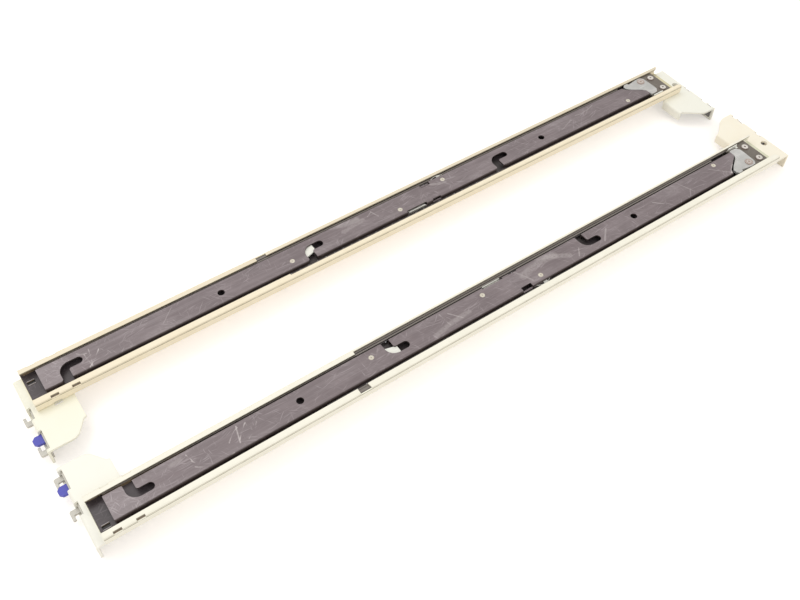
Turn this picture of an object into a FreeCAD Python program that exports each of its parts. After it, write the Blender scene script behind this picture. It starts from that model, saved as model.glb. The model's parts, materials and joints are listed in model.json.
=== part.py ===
"""Sliding server rail pair: two mirrored three-member ball slides on rack brackets.

Each rail is drawn once in its own frame and then placed twice, once as it is
(left rail) and once mirrored (right rail).  In the rail's frame X runs from the
rack's front post to its rear post, Y runs from the rail's low edge to its upper
edge (up in the rack) and Z stands away from the rack's side, towards the server.
The rails lie on a flat surface, server side up, so Z = 0 is that surface.
"""
import FreeCAD, Part
import math
import os

# ---------------------------------------------------------------- driving sizes
# sheet channel that carries the slide
CHANNEL_WIDTH = 41.0
CHANNEL_DEPTH = 9.7
CHANNEL_LENGTH = 715.4
CHANNEL_SHEET = 1.2
CHANNEL_BEND = 2.0
LIP_WIDTH = 5.7
HIGH_LIP_NARROW = {"left": 2.85, "right": 4.2}
LOW_LIP_NARROW = {"left": 5.7, "right": 4.5}
LIP_STEP_X = 234.0
LIP_NOTCH_X = 217.3
LIP_NOTCH_LENGTH = 9.5
LIP_NOTCH_TAPER = 1.4
LIP_END_RADIUS = 5.0
WALL_SLOT_LENGTH = 6.8
WALL_SLOT_DEPTH = 2.2
FOOT_SLOT_HEIGHT = 2.4
FOOT_SLOT_REACH = 1.4
LOW_WALL_SLOTS = (7.6, 25.5)
HIGH_WALL_SLOTS = (13.4, 31.2)

# brackets
PLATE_SHEET = 2.0
PLATE_TOP_Z = 16.6
BRACKET_LOW = 2.4
BRACKET_HIGH = 79.4
FRONT_FLANGE_X = -7.5
FRONT_PLATE_LENGTH = 37.8
FRONT_CORNER = ((0.0, 14.8, 0.8), (3.0, 13.4, 0.4), (11.3, 2.2, 3.0), (16.3, 0.0, 6.0))
REAR_FLANGE_PAST = 14.2
REAR_PLATE_LENGTH = 38.2
REAR_SCREW_BACK = 31.4
REAR_SCREW_PITCH = 60.0
REAR_ARM_HALF = 11.0
REAR_LIP_DROP = 10.0
REAR_CURVE_X = 21.0
REAR_CURVE_RADIUS = 17.0
REAR_CURVE_DROP = 13.8
REAR_TAB_SLOT = (14.4, 6.6)
FLANGE_BEND = 2.4
FRONT_RIVET_SPREAD = 10.5
FRONT_RIVET_SHARE = 0.606
FRONT_RIVET_RADIUS = 2.4
REAR_HOLE_RADIUS = 3.3
REAR_HOLE_INSET = 8.2
REAR_HOLE_UP = 28.3
ADJUST_SHANK_RADIUS = 2.5
ADJUST_HEAD_RADIUS = 5.0
LEFT_REAR_OUT = 6.9
FLANGE_SLOT_DEPTH = 3.4
REAR_TRAVEL = 40.0

# hooks that stand in the rack's square holes, and the release tab beside them
HOLE_PITCH = 31.75
HOOK_UP = 41.8
HOOK_REACH = 5.4
HOOK_ARM = 4.6
HOOK_TOOTH = 4.4
HOOK_GAP = 3.0
HOOK_SHEET = 2.0
HOOK_Z = 8.6
TAB_UP = 61.9
TAB_WIDTH = 8.6
TAB_REACH = 6.2
TAB_THICK = 2.6
TAB_CORNER = 2.5
TAB_STROKE = 4.0

# ball slide
OUTER_SHEET = 1.4
OUTER_SETBACK = 39.4
OUTER_CLEAR = 0.1
OUTER_ARM = 1.6
OUTER_ARM_TOP_Z = 24.8
OUTER_FRONT_X = 0.3
ARM_NOTCH_X = 82.0
ARM_NOTCH_LENGTH = 14.0
CURL_THICK = 0.9
LANCE_START_X = 2.4
LANCE_LENGTH = 6.4
LANCE_OFF = 9.6
LANCE_WIDTH = 3.4
LANCE_RIM = 0.7
LANCE_FLOOR = 0.3
BALL_RADIUS = 1.28
RACE_RADIUS = 1.30
RACE_SINK = 0.30
MIDDLE_WALL = 1.6
MIDDLE_WEB = 1.1
MIDDLE_WEB_LIFT = 0.5
MIDDLE_TOP_Z = 24.4
MIDDLE_FRONT_X = 13.0
MIDDLE_SETBACK = 21.0
INNER_SHEET = 1.6
INNER_TOP_Z = 27.3
INNER_FRONT_X = 12.3
INNER_END_PAST = 1.0
INNER_END_SLANT = 20.0
INNER_BEND = 1.6
CAGE_SHEET = 0.32
CAGE_SHARE = (0.2656, 0.671)
CAGE_END_MARGIN = 10.0
CAGE_WALL = 0.8
BALLS_PER_ROW = 2

# stud slots and holes in the inner member
STUD_SLOT_SHARES = (0.0675, 0.3876, 0.6861)
STUD_SLOT_RADIUS = 3.5
STUD_SLOT_OFF = -1.0
STUD_MOUTH = 8.0
STUD_SLOT_REACH = 12.7
STUD_CORNER = 9.5
MEMBER_HOLE_SHARES = (0.2427, 0.7476)
MEMBER_HOLE_RADIUS = 3.2
MEMBER_HOLE_OFF = 0.7
CATCH_RIVET_AHEAD = 34.5
CATCH_RIVET_OFF = 3.8
CATCH_SHORT = 9.8
CATCH_NECK = (16.0, 12.0)
LATCH_RIVET_AHEAD = 5.4
LATCH_RIVET_OFF = 4.8
SPRING_RIVET_BEHIND = 11.7
SPRING_RIVET_IN = 6.1
END_RIVET_AHEAD = 28.3
MEMBER_RIVET_RADIUS = 2.4
MEMBER_RIVET_FOOT = 3.2
EDGE_NOTCH_SHARE = 0.5472
EDGE_NOTCH_LENGTH = 10.8
SIDE_LATCH_AHEAD = 27.3
SIDE_LATCH_LENGTH = 18.6
SIDE_SPRING_BEHIND = 12.5
SIDE_SPRING_LENGTH = 19.0
SIDE_SPRING_BOW = 2.8
SIDE_SPRING_STROKE = 0.9

# rear latch
LATCH_TOP_Z = 24.4
LATCH_SHEET = 1.6
LATCH_LENGTH = 27.7
LATCH_TONGUE = 13.0
LATCH_TONGUE_OFF = 6.0
LEVER_THICK = 2.4
LEVER_PIVOT_BACK = 6.4
LEVER_LIP_GAP = 0.5
LEVER_RISE_SHARE = 0.5244
LEVER_TIP_SHARE = 0.265
LEVER_PIVOT_RADIUS = 3.0
LEVER_HEAD_RADIUS = 4.1
LATCH_SPRING_BACK = 3.2
LATCH_SPRING_LENGTH = 12.4
LATCH_SPRING_IN = 4.2
SCREW_BACK = 21.8
SCREW_OFFS = (-9.0, 9.8)
SCREW_HEAD_RADIUS = 3.6
SCREW_HEAD_HEIGHT = 1.3

# pair on the surface it lies on
PAIR_HALF = 87.75
RUN = 0.05
TILT_GAP = 0.3

# ---------------------------------------------------------------- derived sizes
CENTRE = CHANNEL_WIDTH / 2.0
OUTER_HALF = CENTRE - CHANNEL_SHEET - OUTER_CLEAR
OUTER_LENGTH = CHANNEL_LENGTH - OUTER_SETBACK
MIDDLE_LENGTH = OUTER_LENGTH - MIDDLE_SETBACK - MIDDLE_FRONT_X
INNER_END_HIGH_X = OUTER_LENGTH + INNER_END_PAST
INNER_END_LOW_X = INNER_END_HIGH_X - INNER_END_SLANT
CAGE_START_X = CHANNEL_LENGTH * CAGE_SHARE[0]
CAGE_LENGTH = CHANNEL_LENGTH * CAGE_SHARE[1] - CAGE_START_X
LATCH_START_X = INNER_END_HIGH_X
LATCH_END_X = LATCH_START_X + LATCH_LENGTH
LEVER_RISE = CHANNEL_WIDTH * LEVER_RISE_SHARE
LEVER_LOW = max(LOW_LIP_NARROW.values()) + LEVER_LIP_GAP
LEVER_PIVOT = (OUTER_LENGTH + LEVER_PIVOT_BACK, LEVER_LOW + LEVER_TIP_SHARE * LEVER_RISE)
SCREW_X = OUTER_LENGTH + SCREW_BACK
SCREW_UPS = [CENTRE + off for off in SCREW_OFFS]
STUD_SLOT_UP = CENTRE + STUD_SLOT_OFF
MEMBER_HOLE_UP = CENTRE + MEMBER_HOLE_OFF
REAR_FLANGE_X = CHANNEL_LENGTH + REAR_FLANGE_PAST
REAR_PLATE_FRONT_X = REAR_FLANGE_X - REAR_PLATE_LENGTH
FRONT_PLATE_END_X = FRONT_FLANGE_X + FRONT_PLATE_LENGTH
STUD_SLOTS = [CHANNEL_LENGTH * share for share in STUD_SLOT_SHARES]
MEMBER_HOLES = [CHANNEL_LENGTH * share for share in MEMBER_HOLE_SHARES]
EDGE_NOTCH_X = CHANNEL_LENGTH * EDGE_NOTCH_SHARE
SIDE_LATCH_X = EDGE_NOTCH_X - SIDE_LATCH_AHEAD
SIDE_SPRING_X = EDGE_NOTCH_X + SIDE_SPRING_BEHIND
WEB_TOP_Z = PLATE_TOP_Z + CHANNEL_SHEET
LIP_TOP_Z = PLATE_TOP_Z + CHANNEL_DEPTH
PLATE_LOW_Z = PLATE_TOP_Z - PLATE_SHEET
OUTER_WEB_TOP_Z = WEB_TOP_Z + OUTER_SHEET
MIDDLE_LOW_Z = OUTER_WEB_TOP_Z + MIDDLE_WEB_LIFT
MIDDLE_WEB_TOP_Z = MIDDLE_LOW_Z + MIDDLE_WEB
INNER_LOW_Z = MIDDLE_WEB_TOP_Z + MIDDLE_WEB_LIFT
INNER_WEB_LOW_Z = INNER_TOP_Z - INNER_SHEET
FREE_Z = MIDDLE_TOP_Z + 0.15
BALL_GAP = 2.0 * (RACE_RADIUS - RACE_SINK)
ARM_IN = OUTER_HALF - OUTER_ARM
MIDDLE_OUT = ARM_IN - BALL_GAP
MIDDLE_IN = MIDDLE_OUT - MIDDLE_WALL
INNER_HALF = MIDDLE_IN - BALL_GAP
MEMBER_RIVETS = (
    (STUD_SLOTS[1] - CATCH_RIVET_AHEAD, CENTRE + CATCH_RIVET_OFF),
    (SIDE_LATCH_X - LATCH_RIVET_AHEAD, CENTRE + LATCH_RIVET_OFF),
    (SIDE_SPRING_X + SPRING_RIVET_BEHIND, CENTRE - INNER_HALF + SPRING_RIVET_IN),
    (INNER_END_HIGH_X - END_RIVET_AHEAD, CENTRE + INNER_HALF - INNER_SHEET - MEMBER_RIVET_FOOT),
)
INNER_ROW = INNER_HALF + BALL_GAP / 2.0
OUTER_ROW = MIDDLE_OUT + BALL_GAP / 2.0
INNER_ROW_Z = INNER_LOW_Z + BALL_RADIUS + 0.3
OUTER_ROW_Z = MIDDLE_LOW_Z + BALL_RADIUS + 1.0
LEVER_LOW_Z = LATCH_TOP_Z
LEVER_TOP_Z = LATCH_TOP_Z + LEVER_THICK
HOOK_LOW_Z = HOOK_Z - HOOK_SHEET / 2.0
REAR_TIP_X = REAR_FLANGE_X + LEFT_REAR_OUT + HOOK_REACH
FRONT_TIP_X = FRONT_FLANGE_X - TAB_REACH
ORIGIN_X = (REAR_TIP_X + FRONT_TIP_X) / 2.0


# ---------------------------------------------------------------- small helpers
def box(x0, x1, y0, y1, z0, z1):
    """Box between two corners."""
    return Part.makeBox(x1 - x0, y1 - y0, z1 - z0, FreeCAD.Vector(x0, y0, z0))


def post(x, y, z0, z1, radius):
    """Round post standing along Z."""
    return Part.makeCylinder(radius, z1 - z0, FreeCAD.Vector(x, y, z0))


def rod(x0, x1, y, z, radius):
    """Round rod lying along X."""
    return Part.makeCylinder(radius, x1 - x0, FreeCAD.Vector(x0, y, z), FreeCAD.Vector(1, 0, 0))


def corner_wire(corners, lift):
    """Closed wire through (a, b, radius) corners; lift turns (a, b) into a point."""
    spans = []
    count = len(corners)
    for index in range(count):
        a, b, radius = corners[index]
        before = corners[index - 1]
        after = corners[(index + 1) % count]
        back = (before[0] - a, before[1] - b)
        ahead = (after[0] - a, after[1] - b)
        back_len = math.hypot(*back)
        ahead_len = math.hypot(*ahead)
        back = (back[0] / back_len, back[1] / back_len)
        ahead = (ahead[0] / ahead_len, ahead[1] / ahead_len)
        if radius <= 0:
            spans.append(((a, b), None, (a, b)))
            continue
        half = math.acos(max(-1.0, min(1.0, back[0] * ahead[0] + back[1] * ahead[1]))) / 2.0
        reach = radius / math.tan(half)
        middle = (back[0] + ahead[0], back[1] + ahead[1])
        middle_len = math.hypot(*middle)
        depth = radius / math.sin(half) - radius
        crown = (a + middle[0] / middle_len * depth, b + middle[1] / middle_len * depth)
        spans.append((
            (a + back[0] * reach, b + back[1] * reach),
            crown,
            (a + ahead[0] * reach, b + ahead[1] * reach),
        ))
    edges = []
    for index in range(count):
        start, crown, end = spans[index]
        if crown is not None:
            edges.append(Part.Arc(lift(*start), lift(*crown), lift(*end)).toShape())
        following = spans[(index + 1) % count][0]
        if math.hypot(following[0] - end[0], following[1] - end[1]) > 1e-6:
            edges.append(Part.makeLine(lift(*end), lift(*following)))
    return Part.Wire(edges)


def plate(corners, z0, z1):
    """Flat plate with a cornered (x, y, radius) outline between two heights."""
    wire = corner_wire(corners, lambda x, y: FreeCAD.Vector(x, y, z0))
    return Part.Face(wire).extrude(FreeCAD.Vector(0, 0, z1 - z0))


def section(corners, x0, x1):
    """Long piece with a constant (y, z, radius) section along X."""
    wire = corner_wire(corners, lambda y, z: FreeCAD.Vector(x0, y, z))
    return Part.Face(wire).extrude(FreeCAD.Vector(x1 - x0, 0, 0))


def side_plate(corners, y0, y1):
    """Piece with a constant (x, z, radius) outline along Y."""
    wire = corner_wire(corners, lambda x, z: FreeCAD.Vector(x, y0, z))
    return Part.Face(wire).extrude(FreeCAD.Vector(0, y1 - y0, 0))


def slot(x0, x1, y, z0, z1, radius):
    """Round-ended slot along X."""
    ends = [post(x0 + radius, y, z0, z1, radius), post(x1 - radius, y, z0, z1, radius)]
    return box(x0 + radius, x1 - radius, y - radius, y + radius, z0, z1).fuse(ends)


def clean(shape):
    """Shape with its split faces merged."""
    return shape.removeSplitter()


# ---------------------------------------------------------------- channel
def make_channel(side):
    """Lipped sheet channel with its lip step, lip notch and wall slots."""
    low, high = PLATE_TOP_Z, LIP_TOP_Z
    sheet, bend = CHANNEL_SHEET, CHANNEL_BEND
    width = CHANNEL_WIDTH
    body = section([
        (0, low, bend), (width, low, bend), (width, high, bend),
        (width - LIP_WIDTH, high, 0), (width - LIP_WIDTH, high - sheet, 0),
        (width - sheet, high - sheet, 0), (width - sheet, low + sheet, bend - sheet),
        (sheet, low + sheet, bend - sheet), (sheet, high - sheet, 0),
        (LIP_WIDTH, high - sheet, 0), (LIP_WIDTH, high, 0), (0, high, bend),
    ], 0, CHANNEL_LENGTH)
    under_lip = high - sheet - 0.01
    over = high + 1.0
    high_lip, low_lip = HIGH_LIP_NARROW[side], LOW_LIP_NARROW[side]
    notch_end = LIP_NOTCH_X + LIP_NOTCH_LENGTH
    cuts = [
        box(LIP_STEP_X, CHANNEL_LENGTH + 1, width - LIP_WIDTH - 1, width - high_lip, under_lip, over),
        box(notch_end, CHANNEL_LENGTH + 1, low_lip, LIP_WIDTH + 1, under_lip, over),
    ]
    cuts.append(plate([
        (LIP_NOTCH_X, LIP_WIDTH + 1, 0), (LIP_NOTCH_X, -1, 0),
        (notch_end + LIP_NOTCH_TAPER, -1, 0), (notch_end, LIP_WIDTH + 1, 0),
    ], under_lip - 0.2, over))
    for start in LOW_WALL_SLOTS:
        cuts.append(box(start, start + WALL_SLOT_LENGTH, -1, WALL_SLOT_DEPTH, high - bend, over))
    for start in HIGH_WALL_SLOTS:
        cuts.append(box(start, start + WALL_SLOT_LENGTH, width - WALL_SLOT_DEPTH, width + 1,
                        high - bend, over))
    foot = HIGH_WALL_SLOTS[0]
    cuts.append(box(foot, foot + WALL_SLOT_LENGTH, width - bend, width + 1,
                    low - 1, low + FOOT_SLOT_HEIGHT))
    for radius, edge, outward in ((min(LIP_END_RADIUS, low_lip - 0.2), low_lip, -1),
                                  (high_lip - 0.2, width - high_lip, 1)):
        centre_x = CHANNEL_LENGTH - radius
        centre_y = edge + outward * radius
        corner = box(centre_x, CHANNEL_LENGTH + 1, min(centre_y, edge - outward),
                     max(centre_y, edge - outward), under_lip, over)
        cuts.append(corner.cut(post(centre_x, centre_y, under_lip - 1, over + 1, radius)))
    for up in SCREW_UPS:
        cuts.append(post(SCREW_X, up, low - 1, low + sheet + 1, 2.0))
    for x, y in front_rivet_places():
        cuts.append(post(x, y, low - 1, low + sheet + 1, FRONT_RIVET_RADIUS))
    for x in adjust_screw_places():
        cuts.append(post(x, CENTRE, low - 1, low + sheet + 1, ADJUST_SHANK_RADIUS))
    return clean(body.cut(cuts))


# ---------------------------------------------------------------- slide members
def make_outer_member():
    """Fixed slide member: web, two curled arms with ball races, lanced front tab."""
    web_low, web_top = WEB_TOP_Z, OUTER_WEB_TOP_Z
    half, arm_in, tip = OUTER_HALF, ARM_IN, MIDDLE_OUT + 0.4
    top, curl = OUTER_ARM_TOP_Z, CURL_THICK
    body = section([
        (CENTRE - half, web_low, 1.5), (CENTRE + half, web_low, 1.5), (CENTRE + half, top, 1.2),
        (CENTRE + tip, top, 0), (CENTRE + tip, top - curl, 0),
        (CENTRE + arm_in, top - curl, 0), (CENTRE + arm_in, web_top, 0),
        (CENTRE - arm_in, web_top, 0), (CENTRE - arm_in, top - curl, 0),
        (CENTRE - tip, top - curl, 0), (CENTRE - tip, top, 0), (CENTRE - half, top, 1.2),
    ], OUTER_FRONT_X, OUTER_LENGTH)
    cuts = []
    for side in (-1, 1):
        cuts.append(rod(-1, OUTER_LENGTH + 1, CENTRE + side * OUTER_ROW, OUTER_ROW_Z, RACE_RADIUS))
    cuts.append(box(ARM_NOTCH_X, ARM_NOTCH_X + ARM_NOTCH_LENGTH, CENTRE + tip - 1, CENTRE + arm_in,
                    top - curl - 0.2, top + 1))
    x0, x1 = LANCE_START_X, LANCE_START_X + LANCE_LENGTH
    y0, y1 = CENTRE - LANCE_OFF, CENTRE - LANCE_OFF + LANCE_WIDTH
    cuts.append(box(x0, x1, y0, y1, web_low + LANCE_FLOOR, web_top + 1))
    body = body.cut(cuts)
    rims = [box(x0, x1, y - LANCE_RIM, y, web_top - 0.2, web_top + MIDDLE_WEB_LIFT - 0.15)
            for y in (y0, y1 + LANCE_RIM)]
    return clean(body.fuse(rims))


def make_middle_member():
    """Intermediate member: web and two walls with races on both faces."""
    low, web_top, top = MIDDLE_LOW_Z, MIDDLE_WEB_TOP_Z, MIDDLE_TOP_Z
    x0, x1 = MIDDLE_FRONT_X, MIDDLE_FRONT_X + MIDDLE_LENGTH
    body = section([
        (CENTRE - MIDDLE_OUT, low, 1.2), (CENTRE + MIDDLE_OUT, low, 1.2),
        (CENTRE + MIDDLE_OUT, top, 0), (CENTRE + MIDDLE_IN, top, 0),
        (CENTRE + MIDDLE_IN, web_top, 0), (CENTRE - MIDDLE_IN, web_top, 0),
        (CENTRE - MIDDLE_IN, top, 0), (CENTRE - MIDDLE_OUT, top, 0),
    ], x0, x1)
    cuts = []
    for side in (-1, 1):
        cuts.append(rod(x0 - 1, x1 + 1, CENTRE + side * OUTER_ROW, OUTER_ROW_Z, RACE_RADIUS))
        cuts.append(rod(x0 - 1, x1 + 1, CENTRE + side * INNER_ROW, INNER_ROW_Z, RACE_RADIUS))
    return clean(body.cut(cuts))


def stud_slot(end_x, z0, z1):
    """J-shaped slot: open mouth at the upper edge, then a run to the rear."""
    radius = STUD_SLOT_RADIUS
    high = CENTRE + INNER_HALF + 1
    right = end_x - STUD_SLOT_REACH
    left = right - STUD_MOUTH
    low = STUD_SLOT_UP - radius
    top = STUD_SLOT_UP + radius
    flare = high - 2.6
    return plate([
        (left - 3.0, high, 0), (left, flare, 1.0), (left, low, STUD_CORNER),
        (end_x, low, radius - 0.01), (end_x, top, radius - 0.01), (right, top, 1.8),
        (right, flare + 0.9, 0.5), (right + 2.8, flare + 1.2, 0.3), (right + 2.8, high, 0),
    ], z0, z1)


def inner_end(z0, z1):
    """Waste outside the slanted rear end of the inner member."""
    far = INNER_END_HIGH_X + 2 * INNER_END_SLANT
    return plate([
        (INNER_END_HIGH_X, CENTRE + INNER_HALF + 2, 0),
        (INNER_END_HIGH_X, CENTRE + 5.6, 1.5),
        (INNER_END_LOW_X + 1.2, CENTRE - 7.6, 1.5),
        (INNER_END_LOW_X - 1.0, CENTRE - INNER_HALF - 2, 0),
        (far, CENTRE - INNER_HALF - 2, 0), (far, CENTRE + INNER_HALF + 2, 0),
    ], z0, z1)


def make_inner_member():
    """Server-side member: flat face with stud slots, holes, notches and slanted end."""
    top, under, low = INNER_TOP_Z, INNER_WEB_LOW_Z, INNER_LOW_Z
    half, sheet = INNER_HALF, INNER_SHEET
    far = INNER_END_HIGH_X + 5
    body = section([
        (CENTRE - half, low, 0), (CENTRE - half + sheet, low, 0),
        (CENTRE - half + sheet, under, 0), (CENTRE + half - sheet, under, 0),
        (CENTRE + half - sheet, low, 0), (CENTRE + half, low, 0),
        (CENTRE + half, top, INNER_BEND), (CENTRE - half, top, INNER_BEND),
    ], INNER_FRONT_X, far)
    z0, z1 = low - 1, top + 1
    cuts = [stud_slot(end_x, z0, z1) for end_x in STUD_SLOTS]
    cuts.append(inner_end(z0, z1))
    for side in (-1, 1):
        cuts.append(rod(0, far + 1, CENTRE + side * INNER_ROW, INNER_ROW_Z, RACE_RADIUS))
        corner_y = CENTRE + side * half
        square = box(INNER_FRONT_X - 1, INNER_FRONT_X + 1.4, min(corner_y + side, corner_y - side * 1.4),
                     max(corner_y + side, corner_y - side * 1.4), z0, z1)
        cuts.append(square.cut(post(INNER_FRONT_X + 1.4, corner_y - side * 1.4, z0, z1, 1.4)))
    for x in MEMBER_HOLES:
        cuts.append(post(x, MEMBER_HOLE_UP, under - 1, z1, MEMBER_HOLE_RADIUS))
    for x, y in MEMBER_RIVETS:
        cuts.append(post(x, y, under - 1, z1, MEMBER_RIVET_RADIUS))
    notch_end = EDGE_NOTCH_X + EDGE_NOTCH_LENGTH
    shelf = FREE_Z - 0.1
    cuts.append(box(EDGE_NOTCH_X, notch_end, CENTRE - half - 1, CENTRE - half + 4.3, shelf, z1))
    cuts.append(plate([
        (EDGE_NOTCH_X, CENTRE + half + 1, 0), (EDGE_NOTCH_X + 1.2, CENTRE + half - 1.7, 0),
        (notch_end - 1.2, CENTRE + half - 1.7, 0), (notch_end, CENTRE + half + 1, 0),
    ], shelf, z1))
    latch_end = SIDE_LATCH_X + SIDE_LATCH_LENGTH
    cuts.append(box(SIDE_LATCH_X - 1.2, latch_end + 2.4, CENTRE + half - sheet - 0.6,
                    CENTRE + half + 1, shelf, z1))
    spring_end = SIDE_SPRING_X + SIDE_SPRING_LENGTH
    cuts.append(box(SIDE_SPRING_X - 0.6, spring_end + 0.6, CENTRE - half - 1,
                    CENTRE - half + sheet + 0.6, shelf, under + 0.2))
    return clean(body.cut(cuts))


def ball_places(row, z):
    """Centres of the balls of one pair of rows."""
    step = (CAGE_LENGTH - 2.0 * CAGE_END_MARGIN) / (BALLS_PER_ROW - 1)
    places = []
    for side in (-1, 1):
        for index in range(BALLS_PER_ROW):
            x = CAGE_START_X + CAGE_END_MARGIN + index * step
            places.append(FreeCAD.Vector(x, CENTRE + side * row, z))
    return places


def make_balls(row, z):
    """All balls of one pair of rows as one group."""
    return Part.makeCompound([Part.makeSphere(BALL_RADIUS, centre) for centre in ball_places(row, z)])


def make_cage(row, z, web_z, web_half):
    """Ball cage: thin web between two side strips, with a pocket for each ball."""
    x0, x1 = CAGE_START_X, CAGE_START_X + CAGE_LENGTH
    top = z + BALL_RADIUS + 0.1
    strips = []
    for side in (-1, 1):
        mid = CENTRE + side * row
        strips.append(box(x0, x1, mid - CAGE_WALL / 2.0, mid + CAGE_WALL / 2.0, web_z, top))
    reach = row + CAGE_WALL / 2.0
    body = box(x0, x1, CENTRE - reach, CENTRE + reach, web_z, web_z + CAGE_SHEET).fuse(strips)
    cuts = [box(x0 + 12, x1 - 12, CENTRE - web_half, CENTRE + web_half, web_z - 1, web_z + 1)]
    for centre in ball_places(row, z):
        pocket = Part.makeCylinder(BALL_RADIUS + RUN, 4.0,
                                   FreeCAD.Vector(centre.x, centre.y - 2.0, centre.z),
                                   FreeCAD.Vector(0, 1, 0))
        cuts.append(pocket)
    return clean(body.cut(cuts))


# ---------------------------------------------------------------- inner member trim
def make_member_rivets():
    """Flush rivets in the inner member's face, with a head below each."""
    rivets = []
    for x, y in MEMBER_RIVETS:
        shank = post(x, y, INNER_WEB_LOW_Z - 2.1, INNER_TOP_Z + 0.2, MEMBER_RIVET_RADIUS)
        foot = post(x, y, INNER_WEB_LOW_Z - 2.8, INNER_WEB_LOW_Z - 2.1, MEMBER_RIVET_FOOT)
        rivets.append(shank.fuse(foot))
    return Part.makeCompound([clean(rivet) for rivet in rivets])


def make_stud_catch():
    """Leaf under the middle stud slot that stands in the stud's way out."""
    x, y = MEMBER_RIVETS[0]
    top = INNER_WEB_LOW_Z
    end = STUD_SLOTS[1] - CATCH_SHORT
    neck_start, neck_end = CATCH_NECK
    body = plate([
        (x - 5.0, y - 5.0, 2.0), (end - neck_start, y - 5.0, 2.0), (end - neck_end, STUD_SLOT_UP - 4.6, 2.0),
        (end, STUD_SLOT_UP - 4.6, 0.6), (end, STUD_SLOT_UP + 3.9, 0.6), (x + 6.0, y + 4.2, 2.0),
        (x - 5.0, y + 4.2, 2.0),
    ], top - 1.4, top)
    return clean(body.cut(post(x, y, top - 3, top + 1, MEMBER_RIVET_RADIUS + TILT_GAP)))


def make_side_latch():
    """Lever under the inner member whose upright edge shows at the upper side."""
    x, y = MEMBER_RIVETS[1]
    top = INNER_WEB_LOW_Z
    edge = CENTRE + INNER_HALF
    start, end = SIDE_LATCH_X, SIDE_LATCH_X + SIDE_LATCH_LENGTH
    arm = plate([
        (x - 4.6, y - 4.4, 3.0), (start + 8.0, y - 4.4, 2.0), (end, edge - 4.4, 1.0),
        (end, edge - 0.4, 0), (start + 1.0, edge - 0.4, 0), (start, edge - 2.2, 0.5),
        (x - 4.6, edge - 2.6, 2.0),
    ], FREE_Z, top)
    upright = box(start, end, edge - 0.5, edge + 0.6, FREE_Z, INNER_TOP_Z - 0.5)
    hole = post(x, y, top - 3, top + 1, MEMBER_RIVET_RADIUS + RUN)
    return clean(arm.fuse(upright).cut(hole))


def make_side_spring():
    """Bowed leaf at the lower side of the inner member, held by its rivet."""
    x, y = MEMBER_RIVETS[2]
    top = INNER_WEB_LOW_Z
    start, end = SIDE_SPRING_X, SIDE_SPRING_X + SIDE_SPRING_LENGTH
    middle = (start + end) / 2.0
    edge = CENTRE - INNER_HALF
    bow_low = edge - SIDE_SPRING_BOW
    low, thick = FREE_Z, 0.6
    foot = plate([
        (x - 4.4, edge + 1.9, 0), (x + 4.4, edge + 1.9, 0), (x + 4.4, y + 4.2, 2.5),
        (x - 4.4, y + 4.2, 2.5),
    ], top - 1.0, top)
    points = [FreeCAD.Vector(start, edge + 1.6, low), FreeCAD.Vector(middle, bow_low, low),
              FreeCAD.Vector(end, edge + 1.6, low)]
    inner = [FreeCAD.Vector(p.x, p.y + thick, p.z) for p in points]
    outline = Part.Wire([
        Part.Arc(*points).toShape(),
        Part.makeLine(points[2], inner[2]),
        Part.Arc(inner[2], inner[1], inner[0]).toShape(),
        Part.makeLine(inner[0], points[0]),
    ])
    bow = Part.Face(outline).extrude(FreeCAD.Vector(0, 0, top - low))
    bridge = box(x - 2.0, x + 2.0, bow_low + thick / 2.0, edge + 2.0, top - 1.0, top)
    radius = MEMBER_RIVET_RADIUS + RUN
    hole = [post(x, y - SIDE_SPRING_STROKE, top - 3, top + 1, radius), post(x, y, top - 3, top + 1, radius),
            box(x - radius, x + radius, y - SIDE_SPRING_STROKE, y, top - 3, top + 1)]
    return clean(foot.fuse([bow, bridge]).cut(hole))


# ---------------------------------------------------------------- rear latch
def make_latch_base():
    """Raised plate on legs behind the slide, which carries the latch lever."""
    top, under = LATCH_TOP_Z, LATCH_TOP_Z - LATCH_SHEET
    low_y, high_y = CENTRE - OUTER_HALF + 0.7, CENTRE + OUTER_HALF - 0.7
    tongue_low, tongue_high = CENTRE - ARM_IN + 2.2, CENTRE + ARM_IN - 2.2
    wide_x = LATCH_START_X
    end = LATCH_END_X
    body = plate([
        (end, low_y, 0), (end, high_y, 0), (wide_x, high_y, 0), (wide_x, tongue_high, 0.5),
        (wide_x + 3.0, tongue_high - 3.0, 2.0), (wide_x + 3.0, CENTRE + 4.0, 2.0),
        (wide_x - LATCH_TONGUE, CENTRE - LATCH_TONGUE_OFF, 2.0), (wide_x - LATCH_TONGUE, tongue_low, 1.0),
        (wide_x, tongue_low, 0.3), (wide_x, low_y, 0),
    ], under, top)
    legs = [
        box(end - LATCH_SHEET, end, low_y, high_y, WEB_TOP_Z, under),
        box(wide_x + 1.0, end, low_y, low_y + LATCH_SHEET, WEB_TOP_Z, under),
        box(wide_x + 1.0, end, high_y - LATCH_SHEET, high_y, WEB_TOP_Z, under),
    ]
    cuts = [post(SCREW_X, up, WEB_TOP_Z - 1, top + 1, 2.0) for up in SCREW_UPS]
    cuts.append(post(LEVER_PIVOT[0], LEVER_PIVOT[1], under - 1, top + 1, LEVER_PIVOT_RADIUS))
    return clean(body.fuse(legs).cut(cuts))


def make_latch_screws():
    """Two pan-head screws that hold the latch base to the channel."""
    screws = []
    for up in SCREW_UPS:
        shank = post(SCREW_X, up, PLATE_TOP_Z, LATCH_TOP_Z, 2.0)
        head = Part.makeCone(SCREW_HEAD_RADIUS, SCREW_HEAD_RADIUS - 0.8, SCREW_HEAD_HEIGHT,
                             FreeCAD.Vector(SCREW_X, up, LATCH_TOP_Z))
        top = LATCH_TOP_Z + SCREW_HEAD_HEIGHT
        recess = post(SCREW_X, up, top - 0.6, top + 1, 1.3)
        screws.append(clean(shank.fuse(head).cut(recess)))
    return Part.makeCompound(screws)


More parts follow.
